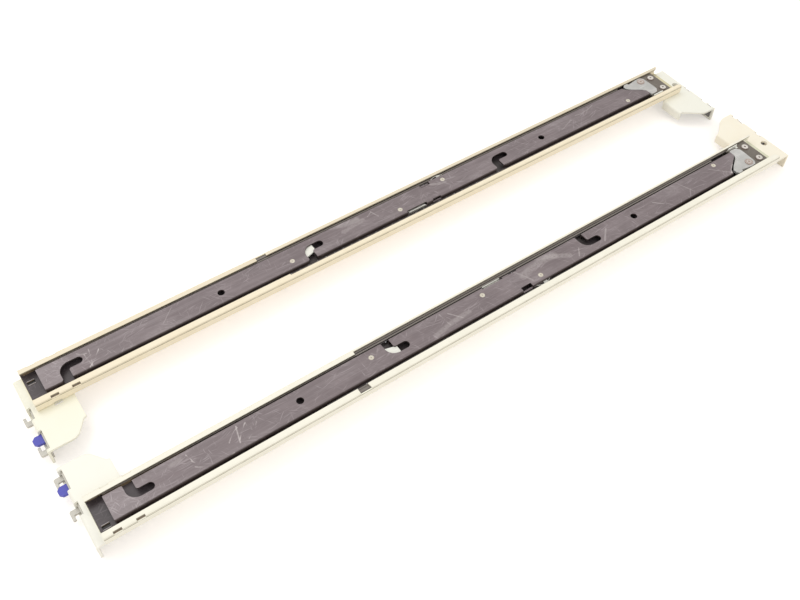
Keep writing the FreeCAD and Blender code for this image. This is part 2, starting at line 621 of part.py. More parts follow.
def make_latch_lever():
    """Flat lever: arm to the upper side, hooked tip along the lower side."""
    px, py = LEVER_PIVOT
    # corners as shares of the arm's rise: arm's end, foot, hooked tip, back to the arm
    outline = [
        (-0.214, 0.972, 0.047), (-0.149, 1.000, 0.023), (0.167, 0.986, 0.112), (0.307, 0.819, 0.116),
        (0.316, 0.558, 0.279), (0.284, -0.093, 0.186), (0.167, -0.247, 0.116), (-0.121, -0.256, 0.140),
        (-0.647, -0.172, 0.037), (-0.679, -LEVER_TIP_SHARE, 0.037), (-0.902, -LEVER_TIP_SHARE, 0.084),
        (-1.005, -0.140, 0.093),
        (-0.991, 0.019, 0.116), (-0.800, 0.195, 0.279), (-0.353, 0.493, 0.233), (-0.228, 0.674, 0.186),
    ]
    rise = LEVER_RISE
    corners = [(px + rise * x, py + rise * y, rise * radius) for x, y, radius in outline]
    body = plate(corners, LEVER_LOW_Z, LEVER_TOP_Z)
    return clean(body.cut(post(px, py, LEVER_LOW_Z - 1, LEVER_TOP_Z + 1, LEVER_PIVOT_RADIUS + RUN)))


def make_latch_pivot():
    """Headed rivet the lever turns on."""
    px, py = LEVER_PIVOT
    top = LEVER_TOP_Z + RUN
    shank = post(px, py, LATCH_TOP_Z - LATCH_SHEET - 0.8, top, LEVER_PIVOT_RADIUS)
    head = Part.makeCone(LEVER_HEAD_RADIUS, LEVER_HEAD_RADIUS - 0.5, 0.7, FreeCAD.Vector(px, py, top))
    foot = post(px, py, LATCH_TOP_Z - LATCH_SHEET - 0.8, LATCH_TOP_Z - LATCH_SHEET, LEVER_HEAD_RADIUS - 0.6)
    return clean(shank.fuse([head, foot]))


def make_latch_spring():
    """Upright leaf beside the lever's arm, on a foot fixed to the latch base."""
    base = LATCH_TOP_Z
    face = CENTRE + OUTER_HALF - LATCH_SPRING_IN
    x0 = OUTER_LENGTH + LATCH_SPRING_BACK
    x1 = x0 + LATCH_SPRING_LENGTH
    leaf = box(x0, x1, face, face + 0.9, base, base + 2.6)
    foot = box(x1 - 2.4, x1, face - 1.8, face + 0.5, base, base + 0.6)
    return clean(leaf.fuse(foot))


# ---------------------------------------------------------------- brackets
def front_rivet_places():
    """Centres of the rivets between front bracket and channel."""
    x = FRONT_FLANGE_X + FRONT_PLATE_LENGTH * FRONT_RIVET_SHARE
    return [(x, CENTRE + side * FRONT_RIVET_SPREAD) for side in (-1, 1)]


def adjust_screw_places():
    """Centres along X of the screws the rear bracket is set with."""
    last = REAR_PLATE_FRONT_X - REAR_SCREW_BACK
    return (last - REAR_SCREW_PITCH, last)


def hook_arm_top(index):
    """Upper edge of a hook's arm, low hook first."""
    return HOOK_UP + HOOK_ARM / 2.0 + index * HOLE_PITCH


def make_front_bracket():
    """Front plate with its rack flange bent down, two flange slots and a rear lug."""
    top, under = PLATE_TOP_Z, PLATE_LOW_Z
    low, high = BRACKET_LOW, BRACKET_HIGH
    x0, x1 = FRONT_FLANGE_X, FRONT_PLATE_END_X
    angle = side_plate([
        (x0, top, FLANGE_BEND), (x0, 0, 0), (x0 + PLATE_SHEET, 0, 0),
        (x0 + PLATE_SHEET, under, FLANGE_BEND - PLATE_SHEET + 0.4), (x1, under, 0), (x1, top, 0),
    ], low, high)
    outline = plate([
        (x0 - 1, low, 0), (x1, low, 0),
        *[(x1 - back, high - down, radius) for back, down, radius in FRONT_CORNER], (x0 - 1, high, 0),
    ], -1, top + 1)
    body = angle.common(outline)
    lug_x = release_lug_x()
    lug = box(lug_x, lug_x + PLATE_SHEET, TAB_UP - 5.0, TAB_UP + 0.2, under - 5.0, under + 0.5)
    body = body.fuse(lug)
    cuts = [
        box(x0 - 1, x0 + FLANGE_SLOT_DEPTH, HOOK_UP - 8.9, hook_arm_top(0) + 0.6,
            HOOK_LOW_Z - 0.3, top + 1),
        box(x0 - 1, x0 + FLANGE_SLOT_DEPTH, TAB_UP - TAB_WIDTH / 2.0 - 0.4, hook_arm_top(1) + 0.6,
            HOOK_LOW_Z - 0.3, top + 1),
        box(HIGH_WALL_SLOTS[0], HIGH_WALL_SLOTS[0] + WALL_SLOT_LENGTH, CHANNEL_WIDTH - CHANNEL_SHEET,
            CHANNEL_WIDTH + FOOT_SLOT_REACH, under - 1, top + 1),
        post(release_stud_x(), TAB_UP, under - 1, top - 0.8, 2.4),
    ]
    for x, y in front_rivet_places():
        cuts.append(post(x, y, under - 1, top + 1, FRONT_RIVET_RADIUS))
    return clean(body.cut(cuts))


def make_front_rivets():
    """Rivets between the front bracket and the channel."""
    rivets = []
    for x, y in front_rivet_places():
        shank = post(x, y, PLATE_LOW_Z, WEB_TOP_Z, FRONT_RIVET_RADIUS)
        head = post(x, y, PLATE_LOW_Z - 1.2, PLATE_LOW_Z, 4.0)
        rivets.append(clean(shank.fuse(head)))
    return Part.makeCompound(rivets)


def hook_plate(flange_x, away):
    """Hook plate: an upright strip behind a flange and two hooks through it."""
    inside = flange_x - away * PLATE_SHEET
    deep = inside - away * 1.6
    low_z, high_z = HOOK_LOW_Z, HOOK_LOW_Z + HOOK_SHEET
    strip = box(min(inside, deep), max(inside, deep), HOOK_UP - 11.0, hook_arm_top(1) + 1.4,
                HOOK_Z - 5.0, PLATE_LOW_Z - 1.0)
    tip = flange_x + away * HOOK_REACH
    gap = flange_x + away * HOOK_GAP
    hooks = []
    for index in (0, 1):
        arm_top = hook_arm_top(index)
        hooks.append(plate([
            (deep, arm_top, 0), (tip, arm_top, 1.6), (tip, arm_top - HOOK_ARM - HOOK_TOOTH, 0.8),
            (gap, arm_top - HOOK_ARM - HOOK_TOOTH, 0.5), (gap, arm_top - HOOK_ARM, 0.8),
            (deep, arm_top - HOOK_ARM, 0),
        ], low_z, high_z))
    return strip.fuse(hooks)


def make_front_hooks():
    """Front hook plate with a window for the release tab."""
    body = hook_plate(FRONT_FLANGE_X, -1)
    inside = FRONT_FLANGE_X + PLATE_SHEET
    window = box(inside - 0.5, inside + 2.6, TAB_UP - TAB_WIDTH / 2.0 - 0.3,
                 TAB_UP + TAB_WIDTH / 2.0 + 0.3, HOOK_Z + 0.2, HOOK_Z + 3.6)
    return clean(body.cut(window))


def release_stud_x():
    """Place along X of the stud the release slide runs on."""
    return FRONT_FLANGE_X + FRONT_PLATE_LENGTH / 2.0


def release_slide_end_x():
    """Rear end of the release slide."""
    return release_stud_x() + 5.0


def release_lug_x():
    """Front face of the bracket's lug behind the release spring."""
    return FRONT_PLATE_END_X - 2.5 * PLATE_SHEET


def tab_heights():
    """Lower and upper face of the release tab."""
    low = HOOK_Z + 0.6
    return low, low + TAB_THICK


def make_release_tab():
    """Rounded blue finger tab that stands out in front of the flange."""
    low, high = tab_heights()
    tip = FRONT_FLANGE_X - TAB_REACH
    root = FRONT_FLANGE_X + 5.5
    half = TAB_WIDTH / 2.0
    cut = TAB_CORNER
    return plate([
        (tip, TAB_UP - half + cut, 0.5), (tip, TAB_UP + half - cut, 0.5),
        (tip + cut, TAB_UP + half, 0.5), (root, TAB_UP + half, 0),
        (root, TAB_UP - half, 0), (tip + cut, TAB_UP - half, 0.5),
    ], low, high)


def make_release_slide():
    """Steel slide under the front plate that carries the release tab."""
    low, _ = tab_heights()
    root = FRONT_FLANGE_X + 5.5
    end = release_slide_end_x()
    half = TAB_WIDTH / 2.0 - 0.3
    stem = box(root, root + 1.6, TAB_UP - half, TAB_UP + half, low, PLATE_LOW_Z)
    strip = box(root, end, TAB_UP - half, TAB_UP + half, PLATE_LOW_Z - 1.6, PLATE_LOW_Z)
    stud_x = release_stud_x()
    way = slot(stud_x - 2.4 - TAB_STROKE - 0.1, stud_x + 2.4 + RUN, TAB_UP,
               PLATE_LOW_Z - 3, PLATE_LOW_Z + 1, 2.4 + RUN)
    return clean(stem.fuse(strip).cut(way))


def make_release_stud():
    """Headed stud in the front plate that holds the release slide up."""
    x = release_stud_x()
    shank = post(x, TAB_UP, PLATE_LOW_Z - 1.65, PLATE_TOP_Z - 0.8, 2.4)
    head = post(x, TAB_UP, PLATE_LOW_Z - 2.8, PLATE_LOW_Z - 1.65, 3.6)
    return clean(shank.fuse(head))


def make_release_spring():
    """Folded leaf spring between the release slide and the bracket's lug."""
    x0, x1 = release_slide_end_x(), release_lug_x()
    low, high = PLATE_LOW_Z - 3.6, PLATE_LOW_Z
    turns = 4
    thick = 0.5
    step = (x1 - x0 - thick) / turns
    half = TAB_WIDTH / 2.0 - 1.6
    bars = []
    for index in range(turns + 1):
        x = x0 + index * step
        bars.append(box(x, x + thick, TAB_UP - half, TAB_UP + half, low, high))
        if index < turns:
            side = half if index % 2 else thick - half
            bars.append(box(x, x + step + thick, TAB_UP + side - thick, TAB_UP + side, low, high))
    return clean(bars[0].fuse(bars[1:]))


def make_rear_bracket():
    """Rear plate with rack flange, stiffening flange, curved corner and slotted arm."""
    top, under = PLATE_TOP_Z, PLATE_LOW_Z
    low, high = BRACKET_LOW, BRACKET_HIGH
    x0, x1 = REAR_PLATE_FRONT_X, REAR_FLANGE_X
    corner_y = high - REAR_CURVE_DROP
    angle = side_plate([
        (x0, top, FLANGE_BEND), (x0, top - REAR_LIP_DROP, 0), (x0 + PLATE_SHEET, top - REAR_LIP_DROP, 0),
        (x0 + PLATE_SHEET, under, 0.8), (x1 - PLATE_SHEET, under, 0.8), (x1 - PLATE_SHEET, 0, 0),
        (x1, 0, 0), (x1, top, FLANGE_BEND),
    ], low, high)
    outline = plate([
        (x0 - 1, low, 0), (x1 + 1, low, 0), (x1 + 1, high, 0), (x0 + REAR_CURVE_X, high, REAR_CURVE_RADIUS),
        (x0 + 3.4, corner_y, 0.5), (x0 - 1, corner_y - 0.8, 0),
    ], -1, top + 1)
    body = angle.common(outline)
    low_lip = box(x0 - 1, x0 + PLATE_SHEET + 0.8, low - 1, CHANNEL_WIDTH, top - REAR_LIP_DROP - 1, under)
    body = body.cut([low_lip, box(x0 - 1, x0 + FLANGE_BEND, low - 1, CHANNEL_WIDTH - 1, under - 1, top + 1)])
    first, last = adjust_screw_places()
    arm_x = first - REAR_TRAVEL - 10.0
    arm_low, arm_high = CENTRE - REAR_ARM_HALF, CENTRE + REAR_ARM_HALF
    arm = plate([
        (arm_x, arm_low, 5.0), (x0 + 8.0, arm_low, 0), (x0 + 8.0, arm_high, 0), (arm_x, arm_high, 5.0),
    ], under, top)
    body = body.fuse(arm)
    cuts = [post(x1 - REAR_HOLE_INSET, REAR_HOLE_UP, under - 1, top + 1, REAR_HOLE_RADIUS)]
    for screw_x in (first, last):
        radius = ADJUST_SHANK_RADIUS
        cuts.append(slot(screw_x - radius - REAR_TRAVEL - 0.2, screw_x + radius + 0.2, CENTRE,
                         under - 1, top + 1, radius + RUN))
    deep = x1 - FLANGE_SLOT_DEPTH
    low_top, high_top = hook_arm_top(0), hook_arm_top(1)
    tab_low, tab_high = REAR_TAB_SLOT
    for y0, y1 in ((HOOK_UP - HOOK_ARM, low_top + 0.6), (high_top - tab_low, high_top - tab_high),
                   (high_top - 5.2, high_top + 0.6)):
        cuts.append(box(deep, x1 + 1, y0, y1, HOOK_LOW_Z - 0.3, top + 1))
    cuts.append(box(deep, x1 + 1, high_top - 7.6, high_top - 4.2,
                    HOOK_LOW_Z - 0.3, HOOK_LOW_Z + HOOK_SHEET + 0.3))
    return clean(body.cut(cuts))


def make_rear_hooks():
    """Rear hook plate."""
    return clean(hook_plate(REAR_FLANGE_X, 1))


def make_adjust_screws():
    """Screws that clamp the rear bracket's arm under the channel."""
    screws = []
    for x in adjust_screw_places():
        shank = post(x, CENTRE, PLATE_LOW_Z, WEB_TOP_Z, ADJUST_SHANK_RADIUS)
        head = post(x, CENTRE, PLATE_LOW_Z - 2.2, PLATE_LOW_Z, ADJUST_HEAD_RADIUS)
        screws.append(clean(shank.fuse(head)))
    return Part.makeCompound(screws)


# ---------------------------------------------------------------- all nodes
def build_rail(side):
    """Every piece of one rail, in the rail's own frame."""
    outer_web = (MIDDLE_LOW_Z + OUTER_WEB_TOP_Z) / 2.0 - CAGE_SHEET / 2.0
    inner_web = (INNER_LOW_Z + MIDDLE_WEB_TOP_Z) / 2.0 - CAGE_SHEET / 2.0
    return {
        "channel": make_channel(side),
        "outer_member": make_outer_member(),
        "middle_member": make_middle_member(),
        "inner_member": make_inner_member(),
        "outer_cage": make_cage(OUTER_ROW, OUTER_ROW_Z, outer_web, OUTER_ROW - 6.0),
        "outer_balls": make_balls(OUTER_ROW, OUTER_ROW_Z),
        "inner_cage": make_cage(INNER_ROW, INNER_ROW_Z, inner_web, INNER_ROW - 6.0),
        "inner_balls": make_balls(INNER_ROW, INNER_ROW_Z),
        "member_rivets": make_member_rivets(),
        "stud_catch": make_stud_catch(),
        "side_latch": make_side_latch(),
        "side_spring": make_side_spring(),
        "latch_base": make_latch_base(),
        "latch_screws": make_latch_screws(),
        "latch_lever": make_latch_lever(),
        "latch_pivot": make_latch_pivot(),
        "latch_spring": make_latch_spring(),
        "front_bracket": make_front_bracket(),
        "front_rivets": make_front_rivets(),
        "front_hooks": make_front_hooks(),
        "release_tab": make_release_tab(),
        "release_slide": make_release_slide(),
        "release_stud": make_release_stud(),
        "release_spring": make_release_spring(),
        "rear_bracket": make_rear_bracket(),
        "rear_hooks": make_rear_hooks(),
        "adjust_screws": make_adjust_screws(),
    }


REAR_NODES = ("rear_bracket", "rear_hooks")


def place(shape, name, side):
    """Put one piece of a rail at its place in the pair."""
    placed = shape.copy()
    if side == "right":
        placed = placed.mirror(FreeCAD.Vector(0, 0, 0), FreeCAD.Vector(0, 1, 0))
    out = LEFT_REAR_OUT if side == "left" and name in REAR_NODES else 0.0
    sideways = -PAIR_HALF if side == "left" else PAIR_HALF
    placed.translate(FreeCAD.Vector(out - ORIGIN_X, sideways, 0))
    return placed


def main():
    """Build one rail and export both as separate nodes."""
    os.makedirs("parts", exist_ok=True)
    for side in ("left", "right"):
        for name, shape in build_rail(side).items():
            place(shape, name, side).exportStep("parts/" + side + "_" + name + ".step")


main()
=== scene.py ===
"""Looks of a sliding server rail pair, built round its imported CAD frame."""

import json
import logging
import math
from dataclasses import asdict, dataclass, field, fields
from enum import Enum

import bmesh
import bpy
from mathutils import Matrix, Vector

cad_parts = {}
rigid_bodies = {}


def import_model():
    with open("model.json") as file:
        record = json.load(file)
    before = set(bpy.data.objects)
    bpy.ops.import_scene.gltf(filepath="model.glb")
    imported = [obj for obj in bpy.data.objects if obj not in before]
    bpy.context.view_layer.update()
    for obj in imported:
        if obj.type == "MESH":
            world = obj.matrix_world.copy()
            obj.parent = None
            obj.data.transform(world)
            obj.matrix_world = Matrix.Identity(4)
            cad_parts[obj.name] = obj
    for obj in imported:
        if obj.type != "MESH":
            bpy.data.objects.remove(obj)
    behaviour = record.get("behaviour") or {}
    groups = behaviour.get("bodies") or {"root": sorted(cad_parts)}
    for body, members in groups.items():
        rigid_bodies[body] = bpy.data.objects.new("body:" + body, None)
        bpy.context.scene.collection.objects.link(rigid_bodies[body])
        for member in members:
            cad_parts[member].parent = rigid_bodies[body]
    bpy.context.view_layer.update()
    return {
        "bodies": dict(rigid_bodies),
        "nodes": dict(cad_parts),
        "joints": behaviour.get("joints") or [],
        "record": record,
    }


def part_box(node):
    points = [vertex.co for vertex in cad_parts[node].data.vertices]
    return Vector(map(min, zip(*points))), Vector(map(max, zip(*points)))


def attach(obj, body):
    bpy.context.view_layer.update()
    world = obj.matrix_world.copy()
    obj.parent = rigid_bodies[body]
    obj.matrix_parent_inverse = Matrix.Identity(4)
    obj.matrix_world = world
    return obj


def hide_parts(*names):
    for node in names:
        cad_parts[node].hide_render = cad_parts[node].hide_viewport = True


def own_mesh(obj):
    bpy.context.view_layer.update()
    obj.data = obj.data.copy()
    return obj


LOG = logging.getLogger("rail_pair")
MM = 0.001
ORIGIN_X = 364.1  # from the rail's front end to the middle of the pair, in mm
HALF_PAIR = 87.75  # from the middle of the pair to a rail's low edge, in mm
MERGE = 0.000002  # points closer than this are one point, in metres

Colour = tuple[float, float, float]
Spot = tuple[float, float]
Node = bpy.types.Node
NodeTree = bpy.types.NodeTree
Object = bpy.types.Object
Socket = bpy.types.NodeSocket
FLOAT = "NodeSocketFloat"
VECTOR = "NodeSocketVector"


class Side(Enum):
    """The two rails of the pair."""

    LEFT = "left"
    RIGHT = "right"

    def place(self, along: float, up: float, height: float = 0.0) -> tuple:
        """Point of the frame, in metres, that is so many mm along the rail and up from its edge."""
        across = up - HALF_PAIR if self is Side.LEFT else HALF_PAIR - up
        return ((along - ORIGIN_X) * MM, across * MM, height * MM)


# --- node helpers
class Tree:
    """Small helper that places and joins nodes of one node tree."""

    def __init__(self, tree: NodeTree) -> None:
        """Keeps the tree."""
        self.tree = tree

    def add(self, kind: str, **settings: object) -> Node:
        """Adds a node and sets its properties.

        Args:
            kind: Blender's type name of the node.
            **settings: Properties to set on it.

        Returns:
            The new node.
        """
        node = self.tree.nodes.new(kind)
        for name, value in settings.items():
            setattr(node, name, value)
        return node

    def join(self, output: Socket, socket: Socket) -> None:
        """Links an output to an input."""
        self.tree.links.new(output, socket)

    def feed(self, socket: Socket, value: object) -> None:
        """Links a socket to the input, or sets a plain value on it.

        Args:
            socket: Input to feed.
            value: Value or socket.
        """
        if isinstance(value, Socket):
            self.join(value, socket)
        else:
            socket.default_value = value

    def fill(self, node: Node, **values: object) -> Node:
        """Feeds several inputs of a node.

        Args:
            node: Node to fill.
            **values: Input name, with _ for a space, to its value or socket.

        Returns:
            The same node.
        """
        for name, value in values.items():
            self.feed(node.inputs[name.replace("_", " ")], value)
        return node

    def maths(self, operation: str, first: object, second: object = 0.0,
              clamp: bool = False) -> Socket:
        """Adds a Math node.

        Args:
            operation: Blender's name of the operation.
            first: First value or socket.
            second: Second value or socket.
            clamp: Whether the result stays between 0 and 1.

        Returns:
            The node's result.
        """
        node = self.add("ShaderNodeMath", operation=operation, use_clamp=clamp)
        for socket, value in zip(node.inputs, (first, second)):
            self.feed(socket, value)
        return node.outputs[0]

    def times(self, *factors: object, clamp: bool = False) -> Socket:
        """Multiplies two or more values.

        Args:
            *factors: Values or sockets.
            clamp: Whether each product stays between 0 and 1.

        Returns:
            The product.
        """
        product = factors[0]
        for factor in factors[1:]:
            product = self.maths("MULTIPLY", product, factor, clamp)
        return product

    def minus(self, value: Socket) -> Socket:
        """Turns a value's sign round."""
        return self.times(value, -1.0)

    def vectors(self, operation: str, first: object, second: object = (0.0, 0.0, 0.0),
                scale: object = 1.0) -> Socket:
        """Adds a Vector Math node.

        Args:
            operation: Blender's name of the operation.
            first: First vector or socket.
            second: Second vector or socket.
            scale: Factor or socket of the SCALE operation.

        Returns:
            The node's vector, or its number for a product or a length.
        """
        node = self.add("ShaderNodeVectorMath", operation=operation)
        self.feed(node.inputs[0], first)
        if operation == "SCALE":
            self.feed(node.inputs["Scale"], scale)
        else:
            self.feed(node.inputs[1], second)
        return node.outputs["Value" if operation in ("DOT_PRODUCT", "LENGTH") else "Vector"]

    def split(self, vector: Socket) -> tuple:
        """Splits a vector into X, Y and Z."""
        return tuple(self.fill(self.add("ShaderNodeSeparateXYZ"), Vector=vector).outputs)

    def combine(self, x: object = 0.0, y: object = 0.0, z: object = 0.0) -> Socket:
        """Puts a vector together from X, Y and Z."""
        return self.fill(self.add("ShaderNodeCombineXYZ"), X=x, Y=y, Z=z).outputs[0]

    def ramp(self, value: object, low: float, high: float, start: float = 0.0,
             end: float = 1.0) -> Socket:
        """Maps a value smoothly from one range to another.

        Args:
            value: Value or socket to map.
            low: Lower end of the source range.
            high: Upper end of the source range.
            start: Result at the lower end.
            end: Result at the upper end.

        Returns:
            The mapped value.
        """
        node = self.add("ShaderNodeMapRange", interpolation_type="SMOOTHSTEP")
        self.fill(node, Value=value, From_Min=low, From_Max=high, To_Min=start, To_Max=end)
        return node.outputs["Result"]

    def band(self, value: object, middle: float, half: float, soft: float) -> Socket:
        """Mask that is 1 within half a width of a middle and fades on both sides."""
        away = self.maths("ABSOLUTE", self.maths("SUBTRACT", value, middle))
        return self.ramp(away, half, half + soft, 1.0, 0.0)

    def blend(self, share: object, first: object, second: object, how: str = "MIX") -> Socket:
        """Mixes two colours.

        Args:
            share: How much of the second colour shows.
            first: First colour.
            second: Second colour.
            how: Blending mode.

        Returns:
            The mixed colour.
        """
        node = self.add("ShaderNodeMix", data_type="RGBA", blend_type=how)
        self.feed(node.inputs[0], share)
        colours = [socket for socket in node.inputs if socket.type == "RGBA"]
        for socket, colour in zip(colours, (first, second)):
            self.feed(socket, (*colour, 1.0) if isinstance(colour, tuple) else colour)
        return next(socket for socket in node.outputs if socket.type == "RGBA")

    def noise(self, where: object, scale: object, detail: float = 2.0,
              roughness: float = 0.5, colour: bool = False) -> Socket:
        """Adds noise over a vector.

        Args:
            where: Coordinates.
            scale: Cells per metre.
            detail: Octaves.
            roughness: Strength of the finer octaves.
            colour: Whether the result is three values instead of one.

        Returns:
            The noise.
        """
        node = self.fill(self.add("ShaderNodeTexNoise"), Vector=where, Scale=scale,
                         Detail=detail, Roughness=roughness)
        return node.outputs[1 if colour else 0]

    def turned(self, where: object, scale: tuple, angle: float = 0.0,
               shift: tuple = (0.0, 0.0, 0.0)) -> Socket:
        """Turns coordinates about Z, then stretches them.

        Args:
            where: Coordinates.
            scale: Stretch along each axis.
            angle: Turn about Z in radians.
            shift: Shift in metres.

        Returns:
            The new coordinates.
        """
        turn = self.fill(self.add("ShaderNodeMapping"), Vector=where, Location=shift,
                         Rotation=(0.0, 0.0, angle))
        stretch = self.fill(self.add("ShaderNodeMapping"), Vector=turn.outputs[0], Scale=scale)
        return stretch.outputs[0]

    def group(self, group: NodeTree, **given: object) -> Node:
        """Places a node group, its inputs named with _ for a space, and fills them."""
        return self.fill(self.add("ShaderNodeGroup", node_tree=group), **given)


class Group(Tree):
    """A node group with named inputs and outputs.

    Attributes:
        given: Sockets that carry the group's inputs.
        result: Sockets that take the group's outputs.
    """

    def __init__(self, name: str, kind: str, inputs: dict[str, tuple[str, object]],
                 outputs: dict[str, str]) -> None:
        """Makes the group and its sockets.

        Args:
            name: Name of the group.
            kind: Blender's type name of its tree.
            inputs: Socket name to its kind and default value.
            outputs: Socket name to its kind.
        """
        super().__init__(bpy.data.node_groups.new(name, kind))
        new_socket = self.tree.interface.new_socket
        for label, (socket_kind, value) in inputs.items():
            socket = new_socket(label, in_out="INPUT", socket_type=socket_kind)
            if value is not None:
                socket.default_value = value
        for label, socket_kind in outputs.items():
            new_socket(label, in_out="OUTPUT", socket_type=socket_kind)
        self.given = self.add("NodeGroupInput").outputs
        self.result = self.add("NodeGroupOutput").inputs

    def end_mask(self, mask: Socket) -> NodeTree:
        """Weighs a mask with the amount, puts it out and gives back the group."""
        self.join(self.times(mask, self.given["Amount"], clamp=True), self.result["Mask"])
        return self.tree


class Effects:
    """Shader node groups that several finishes share.

    Attributes:
        SCRATCHES: Direction in radians, cells per metre along and across, and rarity of
            each family of fine scratches.
    """

    SCRATCHES = (
        (0.10, 24.0, 720.0, 0.46), (0.55, 60.0, 820.0, 0.49), (1.05, 70.0, 760.0, 0.50),
        (-0.75, 64.0, 820.0, 0.50), (1.65, 80.0, 740.0, 0.51), (-0.25, 46.0, 860.0, 0.47),
    )

    def __init__(self) -> None:
        """Builds every group once."""
        self.scratches = self.build_scratches()
        self.brushed = self.build_brushed()
        self.rubs = self.build_rubs()
        self.stroke = self.build_stroke()
        self.edges = self.build_edges()
        self.mottle = self.build_mottle()

    def new_mask(self, name: str, **sizes: tuple[str, object]) -> Group:
        """Makes a group of coordinates, an amount and other sizes to a mask."""
        inputs = {"Where": (VECTOR, None), "Amount": (FLOAT, 0.5), **sizes}
        return Group(name, "ShaderNodeTree", inputs, {"Mask": FLOAT})

    def build_scratches(self) -> NodeTree:
        """Short fine scratches in several directions, in scattered places.

        Returns:
            Group with a Mask output.
        """
        tree = self.new_mask("fine_scratches")
        where = tree.given["Where"]
        warp = tree.vectors("SCALE", tree.noise(where, 22.0, colour=True), scale=0.012)
        bowed = tree.vectors("ADD", where, warp)
        total = 0.0
        for angle, along, across, rare in self.SCRATCHES:
            lines = tree.noise(tree.turned(bowed, (along, across, 1.0), angle), 1.0, 1.0)
            spread = tree.turned(where, (50.0, 70.0, 1.0), angle, (angle, 0.3, 0.0))
            patches = tree.ramp(tree.noise(spread, 1.0), rare, rare + 0.12)
            total = tree.maths("MAXIMUM", total, tree.times(tree.ramp(lines, 0.62, 0.70), patches))
        return tree.end_mask(total)

    def build_brushed(self) -> NodeTree:
        """Soft lines drawn out along the rail, as rolling and sliding leave them.

        Returns:
            Group with a Mask output.
        """
        tree = self.new_mask("drawn_lines")
        where = tree.given["Where"]
        wide = tree.noise(tree.turned(where, (5.0, 260.0, 1.0)), 1.0, 2.0, 0.6)
        thin = tree.noise(tree.turned(where, (9.0, 1100.0, 1.0)), 1.0, 2.0, 0.6)
        return tree.end_mask(tree.maths("ADD", tree.ramp(wide, 0.40, 0.75, 0.0, 0.55),
                                        tree.ramp(thin, 0.48, 0.72, 0.0, 0.45)))

    def build_rubs(self) -> NodeTree:
        """Soft pale rubbed patches with a fine broken grain.

        Returns:
            Group with a Mask output.
        """
        tree = self.new_mask("rubbed_patches")
        where = tree.given["Where"]
        wide = tree.noise(tree.turned(where, (17.0, 60.0, 1.0)), 1.0, 3.0, 0.6)
        fine = tree.noise(tree.turned(where, (160.0, 420.0, 1.0), 0.5), 1.0, 3.0, 0.7)
        return tree.end_mask(tree.times(tree.ramp(wide, 0.48, 0.72),
                                        tree.ramp(fine, 0.3, 0.75, 0.25, 1.0)))

    def build_stroke(self) -> NodeTree:
        """One scuff drawn from one point to another, broken up along its length.

        Returns:
            Group with a Mask output.
        """
        tree = self.new_mask(
            "scuff_stroke", Start=(VECTOR, None), Width=(FLOAT, 0.0004),
            Reach=(VECTOR, (0.01, 0.0, 0.0)), Bow=(VECTOR, (0.0, 0.0, 0.0)),
        )
        flat = tree.vectors("MULTIPLY", tree.given["Where"], (1.0, 1.0, 0.0))
        shake = tree.vectors("SUBTRACT", tree.noise(flat, 160.0, colour=True), (0.5, 0.5, 0.5))
        flat = tree.vectors("ADD", flat, tree.vectors("SCALE", shake, scale=0.0012))
        reach = tree.given["Reach"]
        off = tree.vectors("SUBTRACT", flat, tree.given["Start"])
        share = tree.maths("DIVIDE", tree.vectors("DOT_PRODUCT", off, reach),
                           tree.vectors("DOT_PRODUCT", reach, reach), clamp=True)
        arch = tree.times(share, tree.maths("SUBTRACT", 1.0, share), 4.0)
        path = tree.vectors("ADD", tree.vectors("SCALE", reach, scale=share),
                            tree.vectors("SCALE", tree.given["Bow"], scale=arch))
        away = tree.vectors("LENGTH", tree.vectors("SUBTRACT", off, path))
        near = tree.ramp(tree.maths("DIVIDE", away, tree.given["Width"]), 0.5, 1.5, 1.0, 0.0)
        broken = tree.ramp(tree.noise(flat, 420.0, 2.0, 0.6), 0.30, 0.55, 0.45, 1.0)
        return tree.end_mask(tree.times(near, broken))

    def build_edges(self) -> NodeTree:
        """Rounded normals at edges, and a mask of where the edges are.

        Returns:
            Group with Normal and Mask outputs.
        """
        tree = Group(
            "edge_rounding", "ShaderNodeTree",
            {"Radius": (FLOAT, 0.0004), "Amount": (FLOAT, 0.5)},
            {"Normal": VECTOR, "Mask": FLOAT},
        )
        bevel = tree.fill(tree.add("ShaderNodeBevel", samples=6), Radius=tree.given["Radius"])
        flat = tree.add("ShaderNodeNewGeometry").outputs["Normal"]
        tree.join(bevel.outputs[0], tree.result["Normal"])
        turned = tree.maths("SUBTRACT", 1.0, tree.vectors("DOT_PRODUCT", bevel.outputs[0], flat))
        return tree.end_mask(tree.ramp(turned, 0.01, 0.2))

    def build_mottle(self) -> NodeTree:
        """Faint uneven tone with fine grain on top.

        Returns:
            Group with a Value output round 0.5 and a Grain output.
        """
        tree = Group(
            "tone_mottle", "ShaderNodeTree",
            {"Where": (VECTOR, None), "Size": (FLOAT, 40.0)},
            {"Value": FLOAT, "Grain": FLOAT},
        )
        where = tree.given["Where"]
        tree.join(tree.noise(where, tree.given["Size"], 4.0, 0.6), tree.result["Value"])
        tree.join(tree.noise(where, 2600.0, 2.0, 0.6), tree.result["Grain"])
        return tree.tree


